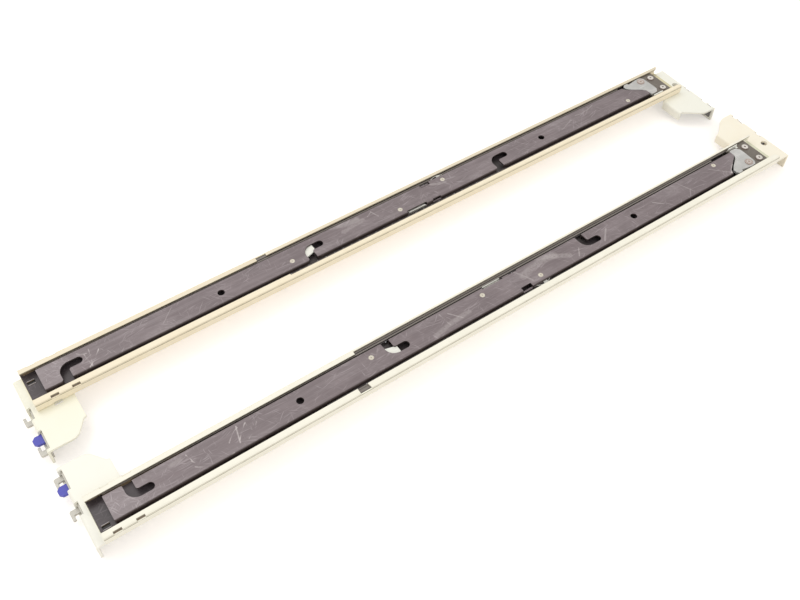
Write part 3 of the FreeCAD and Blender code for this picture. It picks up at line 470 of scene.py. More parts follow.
# --- finishes
@dataclass(frozen=True)
class Surface:
    """A material in the making, with what its finish can read.

    Attributes:
        tree: Tree of the material.
        effects: Shared shader node groups.
        where: Object coordinates.
        along: Their part along the rails.
        across: Their part across the rails.
        height: Their part above the floor.
        side: Part of the object normal across the rails.
        up: Part of the object normal away from the floor.
    """

    tree: Tree
    effects: Effects
    where: Socket
    along: Socket
    across: Socket
    height: Socket
    side: Socket
    up: Socket

    def below(self, level: float, soft: float = 0.1) -> Socket:
        """Mask of what lies below a level, both in mm."""
        return self.tree.ramp(self.height, (level - soft) * MM, level * MM, 1.0, 0.0)

    def above(self, level: float, soft: float = 0.1) -> Socket:
        """Mask of what lies above a level, both in mm."""
        return self.tree.ramp(self.height, (level - soft) * MM, level * MM)

    def wall(self, low: float, high: float) -> Socket:
        """Mask of upright faces, fading in over a range of the normal."""
        return self.tree.ramp(self.tree.maths("ABSOLUTE", self.side), low, high)

    def level(self, low: float = 0.8, high: float = 0.95) -> Socket:
        """Mask of level faces, fading in over a range of the normal."""
        return self.tree.ramp(self.up, low, high)


@dataclass(frozen=True)
class Stroke:
    """A scuff on a slide's face, in mm along the rail and up from its low edge.

    Attributes:
        start: Where it starts.
        end: Where it ends.
        bow: How far its middle stands off the straight line, towards the high edge.
        width: Half of its width, in mm.
        amount: How strongly it shows.
    """

    start: Spot
    end: Spot
    bow: float = 0.0
    width: float = 0.45
    amount: float = 0.6


@dataclass(frozen=True)
class Finish:
    """A surface finish.

    Attributes:
        name: Name of the material.
        colour: Base colour.
        shade: Colour of the uneven parts.
        metal: Metallic share.
        rough: Roughness.
        grain: Depth of the fine grain, in metres.
        edge: How strongly the edge mark shows: worn edges, and on several finishes a painted
            highlight.
        edge_colour: Colour of worn edges, also a painted highlight on several finishes.
        scratch: Strength of fine scratches.
        drawn: Strength of the lines drawn out along the rail.
        rub: Strength of rubbed patches.
        mark_colour: Colour of scratches, lines and rubs.
        round_off: Radius that edges look rounded to, in metres.
        size: Cells per metre of the uneven tone.
    """

    name: str
    colour: Colour
    shade: Colour
    metal: float = 0.0
    rough: float = 0.45
    grain: float = 0.000004
    edge: float = 0.0
    edge_colour: Colour = (0.8, 0.8, 0.8)
    scratch: float = 0.0
    drawn: float = 0.0
    rub: float = 0.0
    mark_colour: Colour = (0.7, 0.68, 0.66)
    round_off: float = 0.0003
    size: float = 40.0

    def build(self, effects: Effects) -> bpy.types.Material:
        """Makes the material.

        Args:
            effects: Shared shader node groups.

        Returns:
            The material.
        """
        material = bpy.data.materials.new(self.name)
        material.use_nodes = True
        tree = Tree(material.node_tree)
        shader = material.node_tree.nodes["Principled BSDF"]
        places = tree.add("ShaderNodeTexCoord").outputs
        where = places["Object"]
        mottle = tree.group(effects.mottle, Where=where, Size=self.size).outputs
        edges = tree.group(effects.edges, Radius=self.round_off, Amount=self.edge).outputs
        colour = tree.blend(tree.ramp(mottle["Value"], 0.35, 0.68), self.colour, self.shade)
        for group, amount in ((effects.brushed, self.drawn), (effects.rubs, self.rub),
                              (effects.scratches, self.scratch)):
            if amount:
                mask = tree.group(group, Where=where, Amount=amount).outputs["Mask"]
                colour = tree.blend(mask, colour, self.mark_colour)
        on = Surface(tree, effects, where, *tree.split(where), *tree.split(places["Normal"])[1:])
        colour = self.detail(on, colour)
        # Worn edges, and on several finishes a painted highlight along edges and bends.
        if self.edge:
            colour = tree.blend(edges["Mask"], colour, self.edge_colour)
        tree.join(colour, shader.inputs["Base Color"])
        rough = tree.ramp(mottle["Value"], 0.3, 0.7, self.rough - 0.05, self.rough + 0.06)
        tree.join(rough, shader.inputs["Roughness"])
        shader.inputs["Metallic"].default_value = self.metal
        bump = tree.fill(tree.add("ShaderNodeBump"), Strength=1.0, Distance=self.grain,
                         Height=mottle["Grain"], Normal=edges["Normal"])
        tree.join(bump.outputs[0], shader.inputs["Normal"])
        return material

    def detail(self, on: Surface, colour: Socket) -> Socket:
        """Adds what only this finish has to the colour so far."""
        return colour


@dataclass(frozen=True)
class Paint(Finish):
    """Paint of the bent sheet pieces, with a coarser grain."""

    rough: float = 0.42
    grain: float = 0.00001


@dataclass(frozen=True)
class ChannelPaint(Paint):
    """Cream paint of the bent channel, bare on its cut edges, with painted shade on folds, lip and
    trough.

    Attributes:
        folds: Heights of the painted shade lines along the folds, in mm.
        fold_half: Half of a fold line's width, in mm.
        fold_soft: Width of its fading sides, in mm.
        fold_colour: Colour of the painted shade lines along the folds.
        cut_colour: Colour of the lips' cut edges.
        cut_height: Height above which a wall is a cut edge, in mm.
        inside: Painted shade in the trough, as a colour to multiply by.
        inside_height: Height below which a level face lies in the trough, in mm.
        low_lip: Where the painted shade of the low lip begins across the rail, in mm.
        low_fade: Where along the rails that shade sets in and is full, in metres.
        low_tone: Painted shade at the rear end of that lip, as a colour to multiply by.
    """

    folds: tuple[float, ...] = (24.35, 17.1)
    fold_half: float = 0.12
    fold_soft: float = 0.38
    fold_colour: Colour = (0.20, 0.19, 0.10)
    cut_colour: Colour = (0.26, 0.21, 0.13)
    cut_height: float = 25.15
    inside: Colour = (0.78, 0.80, 0.70)
    inside_height: float = 18.4
    low_lip: float = 200.0
    low_fade: Spot = (-0.36, 0.30)
    low_tone: Colour = (0.80, 0.80, 0.80)

    def detail(self, on: Surface, colour: Socket) -> Socket:
        """Adds painted shade on the folds, the low lip and the trough, and the cut edges.

        Args:
            on: Surface that is being made.
            colour: Colour so far.

        Returns:
            The colour with the detail on it.
        """
        tree = on.tree
        upright = on.wall(0.75, 0.95)
        thin = tree.ramp(tree.noise(on.where, 120.0), 0.3, 0.6, 0.65, 1.0)
        # Painted shade: a dark line along each fold, where the bend turns away from the light.
        for fold in self.folds:
            line = tree.band(on.height, fold * MM, self.fold_half * MM, self.fold_soft * MM)
            colour = tree.blend(tree.times(line, upright, thin), colour, self.fold_colour)
        cut = tree.times(on.above(self.cut_height), upright, 0.75)
        colour = tree.blend(cut, colour, self.cut_colour)
        # Painted shade: the low lip darkens from front to rear.
        lip = tree.times(tree.ramp(on.across, self.low_lip * MM, (self.low_lip + 0.3) * MM),
                         on.level(0.9, 0.97), tree.ramp(on.along, *self.low_fade, 0.3, 1.0))
        colour = tree.blend(lip, colour, self.low_tone, "MULTIPLY")
        # Painted shade: level faces low in the trough are darkened.
        trough = tree.times(on.below(self.inside_height, 0.5), on.level())
        return tree.blend(trough, colour, self.inside, "MULTIPLY")


@dataclass(frozen=True)
class SlideCoat(Finish):
    """Dark coat of the slide's face, with the scuffs that a server's studs leave.

    Attributes:
        rail: Which rail it is on.
        strokes: Scuffs on the face.
        front: Where the pale rubbed front end stops, in mm.
        front_soft: Over what length it fades, in mm.
        stroke_colour: Colour of the scuffs.
        bend_colour: Painted shade that the bends and flanks are multiplied by.
    """

    rail: Side = Side.LEFT
    strokes: tuple[Stroke, ...] = ()
    front: float = 42.0
    front_soft: float = 12.0
    stroke_colour: Colour = (0.56, 0.51, 0.50)
    bend_colour: Colour = (0.27, 0.23, 0.21)

    def detail(self, on: Surface, colour: Socket) -> Socket:
        """Adds the rubbed front end, each scuff, and painted shade on the bends.

        Args:
            on: Surface that is being made.
            colour: Colour so far.

        Returns:
            The colour with the detail on it.
        """
        tree = on.tree
        edge = (self.front - ORIGIN_X) * MM
        worn = tree.ramp(on.along, edge - self.front_soft * MM, edge, 1.0, 0.0)
        cross = tree.group(on.effects.scratches, Where=tree.turned(on.where, (1.6, 1.6, 1.0), 0.9),
                           Amount=1.0).outputs["Mask"]
        bare = tree.times(worn, tree.maths("ADD", tree.times(cross, 0.7), 0.24))
        colour = tree.blend(bare, colour, self.mark_colour)
        low, high = (Vector(self.rail.place(0.0, up)) for up in (0.0, 1.0))
        for stroke in self.strokes:
            start, end = (Vector(self.rail.place(*spot)) for spot in (stroke.start, stroke.end))
            mask = tree.group(
                on.effects.stroke, Where=on.where, Start=start, Reach=end - start,
                Bow=(high - low) * stroke.bow, Width=stroke.width * MM, Amount=stroke.amount,
            ).outputs["Mask"]
            colour = tree.blend(mask, colour, self.stroke_colour)
        # Painted shade: faces that tilt away from level are darkened.
        shaded_bend = tree.ramp(on.up, 0.72, 0.97, 1.0, 0.0)
        return tree.blend(shaded_bend, colour, self.bend_colour, "MULTIPLY")


@dataclass(frozen=True)
class MemberSteel(Finish):
    """Dark coat of the outer and middle members.

    Attributes:
        arm_height: Height above which a level face is the top of an arm, with painted reflection,
            in mm.
        arm_colour: Painted reflection of the cream lips on the arms' tops.
        rim: Lowest and highest level of the raised rims round the front window, in mm.
        rim_colour: Colour of those rims.
        pit_height: Level below which the window's floor lies and faces take painted shade, in mm.
        pit_colour: Painted shade on that floor and on every lower face.
        flank: Start and end of the stretch on the arms' sides with painted reflection, in mm.
        flank_height: Level above which the arms' sides take that reflection there, in mm.
        flank_colour: Bronze painted reflection of the cream channel on that stretch.
    """

    arm_height: float = 24.25
    arm_colour: Colour = (0.225, 0.20, 0.175)
    rim: Spot = (19.35, 20.2)
    rim_colour: Colour = (0.36, 0.33, 0.33)
    pit_height: float = 18.9
    pit_colour: Colour = (0.02, 0.018, 0.016)
    flank: Spot = (4.0, 80.0)
    flank_height: float = 18.6
    flank_colour: Colour = (0.27, 0.195, 0.115)

    def detail(self, on: Surface, colour: Socket) -> Socket:
        """Adds painted reflection on arm tops and flanks, the window's rims, and painted shade in
        its pit.

        Args:
            on: Surface that is being made.
            colour: Colour so far.

        Returns:
            The colour with the detail on it.
        """
        tree = on.tree
        level = on.level()
        # Painted reflection: the arms' tops take a warm tint from the cream lips.
        top = tree.times(on.above(self.arm_height), level, 0.9)
        colour = tree.blend(top, colour, self.arm_colour)
        low, high = self.rim
        rim = tree.band(on.height, (low + high) / 2.0 * MM, (high - low) / 2.0 * MM, 0.05 * MM)
        colour = tree.blend(tree.times(rim, level), colour, self.rim_colour)
        # Painted shade: the window's floor and every lower face go near black.
        colour = tree.blend(on.below(self.pit_height), colour, self.pit_colour)
        # Painted reflection: a bronze tint of the cream channel on the arms' sides near the front.
        start, end = self.flank
        here = tree.band(on.along, ((start + end) / 2.0 - ORIGIN_X) * MM,
                         (end - start) / 2.0 * MM, 4.0 * MM)
        flank = tree.times(here, on.wall(0.5, 0.6), on.above(self.flank_height, 0.4))
        return tree.blend(flank, colour, self.flank_colour)


RIGHT_STROKES = (
    Stroke((50.6, 16.6), (52.3, 31.4), -0.5),
    Stroke((50.4, 31.2), (62.8, 18.2), 0.9, 0.5, 0.9),
    Stroke((55.6, 13.7), (52.6, 30.2), 0.5, 0.4, 0.6),
    Stroke((45.8, 13.0), (52.5, 16.6), 0.8),
    Stroke((46.5, 24.0), (55.5, 20.0), 0.0, 0.4, 0.35),
    Stroke((96.0, 9.0), (108.0, 13.0), 1.5, 0.35, 0.35),
    Stroke((118.0, 24.0), (131.0, 12.0), 0.0, 0.35, 0.3),
    Stroke((292.0, 8.0), (318.0, 13.0), 2.0, 2.6, 0.34),
    Stroke((300.0, 20.0), (322.0, 17.0), 0.0, 2.2, 0.26),
    Stroke((334.0, 12.0), (337.0, 21.0), 0.0, 0.5, 0.45),
    Stroke((328.0, 16.0), (334.0, 13.0), 0.0, 0.5, 0.4),
    Stroke((402.0, 14.0), (416.0, 19.0), 1.0, 1.4, 0.28),
    Stroke((560.0, 24.0), (578.0, 18.0), 0.0, 0.4, 0.3),
    Stroke((586.0, 15.0), (612.0, 12.0), 2.0, 0.4, 0.4),
)
LEFT_STROKES = (
    Stroke((77.7, 28.1), (79.5, 21.3), 0.6, 0.45, 0.9),
    Stroke((79.1, 20.7), (109.2, 9.3), -4.6, 0.45, 0.8),
    Stroke((79.3, 15.1), (117.3, 7.5), -5.0),
    Stroke((64.0, 26.0), (73.0, 27.0), 0.0, 1.6, 0.25),
    Stroke((109.7, 19.0), (120.9, 27.6), 0.9, 0.5, 0.6),
    Stroke((120.6, 29.0), (117.0, 14.5), 0.0, 0.5, 0.7),
    Stroke((117.8, 16.5), (128.2, 27.7), 0.9, 0.5, 0.8),
    Stroke((124.0, 14.0), (136.0, 24.0), -1.0, 0.45, 0.35),
    Stroke((315.0, 29.0), (316.5, 15.0), 0.6, 0.5, 0.5),
    Stroke((322.0, 26.0), (330.0, 15.0), 0.0, 0.5, 0.45),
    Stroke((300.0, 12.0), (338.0, 17.0), 1.5, 2.2, 0.28),
    Stroke((398.0, 30.0), (406.0, 14.0), 1.0, 0.9, 0.45),
    Stroke((402.0, 22.0), (440.0, 26.0), 2.0, 3.4, 0.32),
    Stroke((424.0, 33.0), (452.0, 18.0), 0.0, 2.6, 0.30),
    Stroke((459.0, 12.0), (465.0, 20.0), 0.0, 0.5, 0.55),
    Stroke((491.0, 13.0), (502.0, 24.0), 0.0, 0.7, 0.45),
    Stroke((562.0, 24.0), (570.0, 17.0), 0.0, 0.5, 0.5),
    Stroke((640.0, 27.0), (656.0, 11.0), 0.0, 0.5, 0.3),
    Stroke((600.0, 30.0), (606.0, 14.0), 0.0, 0.5, 0.35),
    Stroke((656.0, 10.6), (665.5, 17.6), 0.0, 1.0, 1.0),
)


@dataclass(frozen=True)
class HeadSteel(Finish):
    """Finish of a screw or rivet with painted shade in its recess.

    Attributes:
        face: Level of the head's face, in mm.
        dirt: Painted shade in the recess and grooves.
    """

    size: float = 300.0
    face: float = 27.3
    dirt: Colour = (0.16, 0.11, 0.09)

    def detail(self, on: Surface, colour: Socket) -> Socket:
        """Paints shade on what lies below the head's face."""
        # Painted shade: the recess, groove and sides below the face are darkened.
        deep = on.tree.times(on.below(self.face - 0.02), 0.9)
        return on.tree.blend(deep, colour, self.dirt)


def slide_coat(side: Side, strokes: tuple[Stroke, ...]) -> SlideCoat:
    """Makes the slide's coat for one rail.

    Args:
        side: Which rail.
        strokes: Its scuffs.

    Returns:
        The finish.
    """
    # Its pale edge colour is a painted highlight along the bends, together with edge wear.
    return SlideCoat(
        "slide_coat_" + side.value, (0.180, 0.145, 0.150), (0.212, 0.172, 0.178), metal=0.1,
        rough=0.46, edge=0.55, edge_colour=(0.40, 0.35, 0.36), scratch=0.44, drawn=0.30, rub=0.45,
        mark_colour=(0.43, 0.38, 0.39), rail=side, strokes=strokes,
    )


FINISHES = (
    ChannelPaint("channel_paint_left", (0.90, 0.87, 0.745), (0.93, 0.90, 0.78),
                 edge=0.2, edge_colour=(0.62, 0.56, 0.40)),
    ChannelPaint("channel_paint_right", (0.90, 0.80, 0.60), (0.92, 0.83, 0.64),
                 edge=0.2, edge_colour=(0.60, 0.50, 0.33), low_lip=81.5),
    Paint("front_paint_left", (0.93, 0.915, 0.82), (0.94, 0.93, 0.84),
          edge=0.25, edge_colour=(0.66, 0.62, 0.48)),
    Paint("front_paint_right", (0.93, 0.91, 0.76), (0.94, 0.925, 0.79),
          edge=0.25, edge_colour=(0.62, 0.58, 0.42)),
    Paint("rear_paint_left", (0.93, 0.87, 0.72), (0.94, 0.89, 0.75),
          edge=0.3, edge_colour=(0.62, 0.56, 0.42)),
    Paint("rear_paint_right", (0.88, 0.875, 0.78), (0.90, 0.89, 0.80),
          edge=0.35, edge_colour=(0.50, 0.50, 0.40)),
    slide_coat(Side.LEFT, LEFT_STROKES),
    slide_coat(Side.RIGHT, RIGHT_STROKES),
    # Its lighter edge colour is a painted highlight along the edges, together with edge wear.
    MemberSteel("member_steel", (0.062, 0.050, 0.053), (0.085, 0.069, 0.074), metal=0.1, rough=0.42,
                edge=0.3, edge_colour=(0.22, 0.20, 0.20), scratch=0.25,
                mark_colour=(0.24, 0.21, 0.22)),
    Finish("latch_steel", (0.16, 0.14, 0.115), (0.19, 0.165, 0.14), metal=0.2, rough=0.42,
           edge=0.4, edge_colour=(0.34, 0.32, 0.28), scratch=0.3, mark_colour=(0.30, 0.28, 0.25)),
    Finish("strip_dark", (0.050, 0.042, 0.042), (0.075, 0.063, 0.062), metal=0.3, rough=0.4,
           drawn=0.4, mark_colour=(0.16, 0.15, 0.14)),
    Finish("spring_wire", (0.42, 0.41, 0.40), (0.36, 0.355, 0.35), metal=1.0, rough=0.35, drawn=0.3,
           mark_colour=(0.6, 0.6, 0.58)),
    Finish("ball_steel", (0.55, 0.55, 0.56), (0.48, 0.48, 0.49), metal=1.0, rough=0.16,
           grain=0.000001),
    HeadSteel("rivet_pale", (0.66, 0.61, 0.51), (0.74, 0.70, 0.60), metal=0.25, rough=0.45,
              dirt=(0.30, 0.26, 0.22)),
    HeadSteel("screw_pale", (0.86, 0.83, 0.77), (0.80, 0.77, 0.71), metal=0.2, rough=0.4,
              face=25.7, dirt=(0.20, 0.14, 0.12)),
    Finish("white_nylon", (0.88, 0.88, 0.80), (0.80, 0.80, 0.74), rough=0.5),
    Finish("bright_zinc", (0.66, 0.65, 0.60), (0.54, 0.54, 0.50), metal=0.7, rough=0.36,
           edge=0.4, edge_colour=(0.85, 0.84, 0.8), scratch=0.2, mark_colour=(0.85, 0.84, 0.8),
           size=200.0),
    Finish("lever_zinc", (0.50, 0.50, 0.48), (0.58, 0.57, 0.55), metal=0.35, rough=0.42,
           edge=0.5, edge_colour=(0.80, 0.80, 0.78), scratch=0.5, rub=0.5,
           mark_colour=(0.74, 0.74, 0.72), size=160.0),
    HeadSteel("pivot_tan", (0.54, 0.48, 0.44), (0.58, 0.53, 0.49), metal=0.2, rough=0.45,
              face=27.55, dirt=(0.36, 0.25, 0.20)),
    Finish("hook_zinc_front", (0.50, 0.48, 0.43), (0.60, 0.58, 0.52), metal=0.2, rough=0.42,
           edge=0.5, edge_colour=(0.30, 0.28, 0.25), size=200.0),
    # Painted shade: the rear hooks are the same zinc as the front ones, coloured far darker.
    Finish("hook_zinc_rear", (0.13, 0.125, 0.125), (0.19, 0.185, 0.18), metal=0.2, rough=0.42,
           edge=0.3, edge_colour=(0.30, 0.29, 0.27), size=200.0),
    Finish("rivet_brown", (0.12, 0.09, 0.08), (0.18, 0.14, 0.12), metal=0.3, rough=0.45,
           edge=0.4, edge_colour=(0.3, 0.25, 0.2), size=300.0),
    Finish("blue_plastic", (0.075, 0.078, 0.47), (0.095, 0.098, 0.50), rough=0.45,
           edge=0.4, edge_colour=(0.26, 0.27, 0.62)),
)


# --- repeated pieces
@dataclass(frozen=True)
class Pin:
    """Sizes of a turned pin, in mm.

    Attributes:
        head: Radius of its head.
        head_height: Height of its head.
        shank: Radius of the shank.
        foot: Radius of its foot.
        foot_height: Height of its foot.
        rim: Bevel round the head.
        ring: Radius of the groove in the head's face.
        ring_depth: Depth of that groove.
        dimple: Radius of the hollow in the middle.
        dimple_depth: Depth of that hollow.
    """

    head: float
    head_height: float
    shank: float
    foot: float
    foot_height: float
    rim: float
    ring: float
    ring_depth: float
    dimple: float
    dimple_depth: float


def add_object(name: str, data: bpy.types.ID) -> Object:
    """Puts an object with the given data into the scene.

    Args:
        name: Name of the object.
        data: Its mesh, light or camera.

    Returns:
        The object.
    """
    item = bpy.data.objects.new(name, data)
    bpy.context.scene.collection.objects.link(item)
    return item


def merged_shell(node: Object) -> bmesh.types.BMesh:
    """Copies a CAD node's mesh and joins its loose triangles.

    Args:
        node: Object of the CAD node.

    Returns:
        The copy, which the caller frees.
    """
    shell = bmesh.new()
    shell.from_mesh(node.data)
    bmesh.ops.remove_doubles(shell, verts=shell.verts, dist=MERGE)
    return shell


class Repeats:
    """Geometry node trees of the pieces that repeat.

    Attributes:
        BALL_FACES: Segments and rings of a ball.
        PIN_COLUMNS: Points round a turned pin, with the first counted twice.
    """

    BALL_FACES = (10, 6)
    PIN_COLUMNS = 25

    def __init__(self) -> None:
        """Builds both trees."""
        self.balls = self.build_balls()
        self.pins = self.build_pins()

    def new_tree(self, name: str, **sizes: tuple[str, object]) -> Group:
        """Makes a tree that turns the points of a mesh into painted pieces.

        Args:
            name: Name of the tree.
            **sizes: Name of each further input, with _ for a space, to its kind and value.

        Returns:
            The tree.
        """
        inputs = {name: ("NodeSocket" + name, None) for name in ("Geometry", "Material")}
        inputs |= {label.replace("_", " ").title(): kind for label, kind in sizes.items()}
        return Group(name, "GeometryNodeTree", inputs, {"Geometry": "NodeSocketGeometry"})

    def build_balls(self) -> NodeTree:
        """Two rows of balls beside each other.

        Returns:
            Geometry node tree with the rows' sizes as inputs.
        """
        tree = self.new_tree(
            "ball_rows", count=("NodeSocketInt", 20), pitch=(FLOAT, 0.01),
            radius=(FLOAT, 0.001), start=(VECTOR, None),
            spread=(FLOAT, 0.01),
        )
        given = tree.given
        both = tree.add("GeometryNodeJoinGeometry")
        step = tree.combine(x=given["Pitch"])
        for side in (-1.0, 1.0):
            away = tree.combine(y=tree.times(given["Spread"], side))
            row = tree.fill(tree.add("GeometryNodeMeshLine", mode="OFFSET"), Count=given["Count"],
                            Start_Location=tree.vectors("ADD", given["Start"], away), Offset=step)
            tree.join(row.outputs[0], both.inputs[0])
        segments, rings = self.BALL_FACES
        ball = tree.fill(tree.add("GeometryNodeMeshUVSphere"), Segments=segments, Rings=rings,
                         Radius=given["Radius"])
        return self.finish_tree(tree, both.outputs[0], ball.outputs[0], True)

    def build_pins(self) -> NodeTree:
        """A turned pin with head, shank and foot at every point of the mesh.

        Returns:
            Geometry node tree with the pin's sizes as inputs.
        """
        names = [size.name for size in fields(Pin)] + ["length"]
        tree = self.new_tree("turned_pins", **{name: (FLOAT, 0.001) for name in names})
        head, high, shank, foot, thick, rim, ring, groove, dimple, deep, length = (
            tree.given[name.replace("_", " ").title()] for name in names)
        bottom = tree.minus(length)
        foot_top = tree.maths("SUBTRACT", thick, length)
        profile = (
            (0.0, tree.minus(deep)), (tree.times(dimple, 0.7), tree.minus(deep)), (dimple, 0.0),
            (tree.times(ring, 0.86), 0.0), (ring, tree.minus(groove)),
            (tree.times(ring, 1.14), 0.0),
            (tree.maths("SUBTRACT", head, rim), 0.0), (head, tree.minus(rim)),
            (head, tree.minus(high)), (shank, tree.minus(high)), (shank, foot_top),
            (foot, foot_top), (foot, bottom), (0.0, bottom),
        )
        grid = tree.fill(tree.add("GeometryNodeMeshGrid"), Size_X=1.0, Size_Y=1.0,
                         Vertices_X=self.PIN_COLUMNS, Vertices_Y=len(profile))
        across, down, _ = tree.split(tree.add("GeometryNodeInputPosition").outputs[0])
        row = tree.maths("ROUND", tree.times(tree.maths("ADD", down, 0.5), len(profile) - 1.0))
        radius, height = (self.choose(tree, row, values) for values in zip(*profile))
        angle = tree.times(across, math.tau)
        place = tree.combine(tree.times(radius, tree.maths("COSINE", angle)),
                             tree.times(radius, tree.maths("SINE", angle)), height)
        turned = tree.fill(tree.add("GeometryNodeSetPosition"), Geometry=grid.outputs[0],
                           Position=place)
        closed = tree.fill(tree.add("GeometryNodeMergeByDistance"), Geometry=turned.outputs[0],
                           Distance=MERGE)
        return self.finish_tree(tree, tree.given["Geometry"], closed.outputs[0], False)

    def choose(self, tree: Tree, row: Socket, values: tuple) -> Socket:
        """Picks one of several values by its place in a list.

        Args:
            tree: Tree to build in.
            row: Place in the list.
            values: Numbers or sockets.

        Returns:
            The chosen value.
        """
        node = tree.add("GeometryNodeIndexSwitch", data_type="FLOAT")
        while len(node.index_switch_items) < len(values):
            node.index_switch_items.new()
        for socket, value in zip(node.inputs, (row, *values)):
            tree.feed(socket, value)
        return node.outputs[0]

    def finish_tree(self, tree: Group, points: Socket, piece: Socket, smooth: bool) -> NodeTree:
        """Puts the piece on the points and ends the tree.

        Args:
            tree: Tree to build in.
            points: Where the pieces go.
            piece: The piece.
            smooth: Whether the faces are shaded smooth.

        Returns:
            The finished tree.
        """
        last = tree.fill(tree.add("GeometryNodeInstanceOnPoints"), Points=points, Instance=piece)
        for kind, values in (("RealizeInstances", {}), ("SetShadeSmooth", {"Shade_Smooth": smooth}),
                             ("SetMaterial", {"Material": tree.given["Material"]})):
            last = tree.fill(tree.add("GeometryNode" + kind), Geometry=last.outputs[0], **values)
        tree.join(last.outputs[0], tree.result["Geometry"])
        return tree.tree

    def make(self, name: str, tree: NodeTree, points: list[Vector], **sizes: object) -> Object:
        """Runs a tree and keeps its result as one plain mesh.

        Args:
            name: Name of the new object.
            tree: Geometry node tree to run.
            points: Points of the mesh it starts from.
            **sizes: Input name in small letters, with _ for a space, to its value.

        Returns:
            The new object, with its faces turned outwards.
        """
        seed = bpy.data.meshes.new(name + "_points")
        seed.from_pydata([tuple(point) for point in points], [], [])
        maker = add_object(name + "_maker", seed)
        modifier = maker.modifiers.new("repeat", "NODES")
        modifier.node_group = tree
        for item in tree.interface.items_tree:
            key = item.name.replace(" ", "_").lower()
            if item.in_out == "INPUT" and key in sizes:
                modifier[item.identifier] = sizes[key]
        graph = bpy.context.evaluated_depsgraph_get()
        mesh = bpy.data.meshes.new_from_object(maker.evaluated_get(graph), depsgraph=graph)
        maker.modifiers.remove(modifier)
        bpy.data.objects.remove(maker)
        shell = bmesh.new()
        shell.from_mesh(mesh)
        if shell.calc_volume(signed=True) < 0.0:
            bmesh.ops.reverse_faces(shell, faces=shell.faces)
            shell.to_mesh(mesh)
        shell.free()
        mesh.name = name
        return add_object(name, mesh)


def lone_solids(node: Object) -> list[tuple[Vector, Vector]]:
    """Finds the separate solids of a CAD node.

    Args:
        node: Object of the CAD node.

    Returns:
        Low and high corner of each solid, from front to rear.
    """
    shell = merged_shell(node)
    left = set(shell.verts)
    found = []
    while left:
        group = [left.pop()]
        for vertex in group:
            near = {edge.other_vert(vertex) for edge in vertex.link_edges} & left
            left -= near
            group.extend(near)
        found.append(tuple(Vector([pick(vertex.co[axis] for vertex in group) for axis in range(3)])
                           for pick in (min, max)))
    shell.free()
    return sorted(found, key=lambda solid: (round(solid[0].x, 5), solid[0].y))


# --- sub-assemblies
@dataclass
class Workshop:
    """What every sub-assembly works with.

    Attributes:
        materials: Finish name to its material.
        repeats: Geometry node trees of the repeated pieces.
    """

    frame: dict
    materials: dict[str, bpy.types.Material] = field(init=False)
    repeats: Repeats = field(default_factory=Repeats)

    def __post_init__(self) -> None:
        """Builds the materials."""
        effects = Effects()
        self.materials = {finish.name: finish.build(effects) for finish in FINISHES}


@dataclass
class SubAssembly:
    """A group of pieces on one rail.

    Attributes:
        shop: Shared workshop.
        side: Which rail it is on.
    """

    shop: Workshop
    side: Side

    def name(self, part: str) -> str:
        """Name of a CAD node or body with its side."""
        return f"{self.side.value}_{part}"

    def node(self, part: str) -> Object:
        """Object of a CAD node, named without its side."""
        return self.shop.frame["nodes"][self.name(part)]

    def paint(self, finishes: dict[str, str]) -> None:
        """Puts finishes on CAD nodes.

        Args:
            finishes: Node to finish, both without their side.
        """
        materials = self.shop.materials
        for part, finish in finishes.items():
            node = self.node(part)
            material = materials.get(finish) or materials[f"{finish}_{self.side.value}"]
            node.data.materials.clear()
            node.data.materials.append(material)
            LOG.info("finished %s in %s", node.name, material.name)

    def set_pins(self, part: str, pin: Pin, finish: str, slot: str, body: str) -> None:
        """Makes turned pins in place of a CAD node's plain ones.

        Args:
            part: CAD node they stand for.
            pin: Their sizes.
            finish: Name of their finish.
            slot: Material slot of the record they take; not used.
            body: Body they ride on.
        """
        solids = lone_solids(self.node(part))
        tops = [Vector(((low.x + high.x) / 2.0, (low.y + high.y) / 2.0, high.z))
                for low, high in solids]
        low, high = solids[0]
        pins = self.shop.repeats.make(
            self.name(part) + "_turned", self.shop.repeats.pins, tops, length=high.z - low.z,
            material=self.shop.materials[finish],
            **{name: size * MM for name, size in asdict(pin).items()},
        )
        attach(pins, body)
        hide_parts(self.name(part))
        LOG.info("turned %d pins for %s", len(tops), self.name(part))


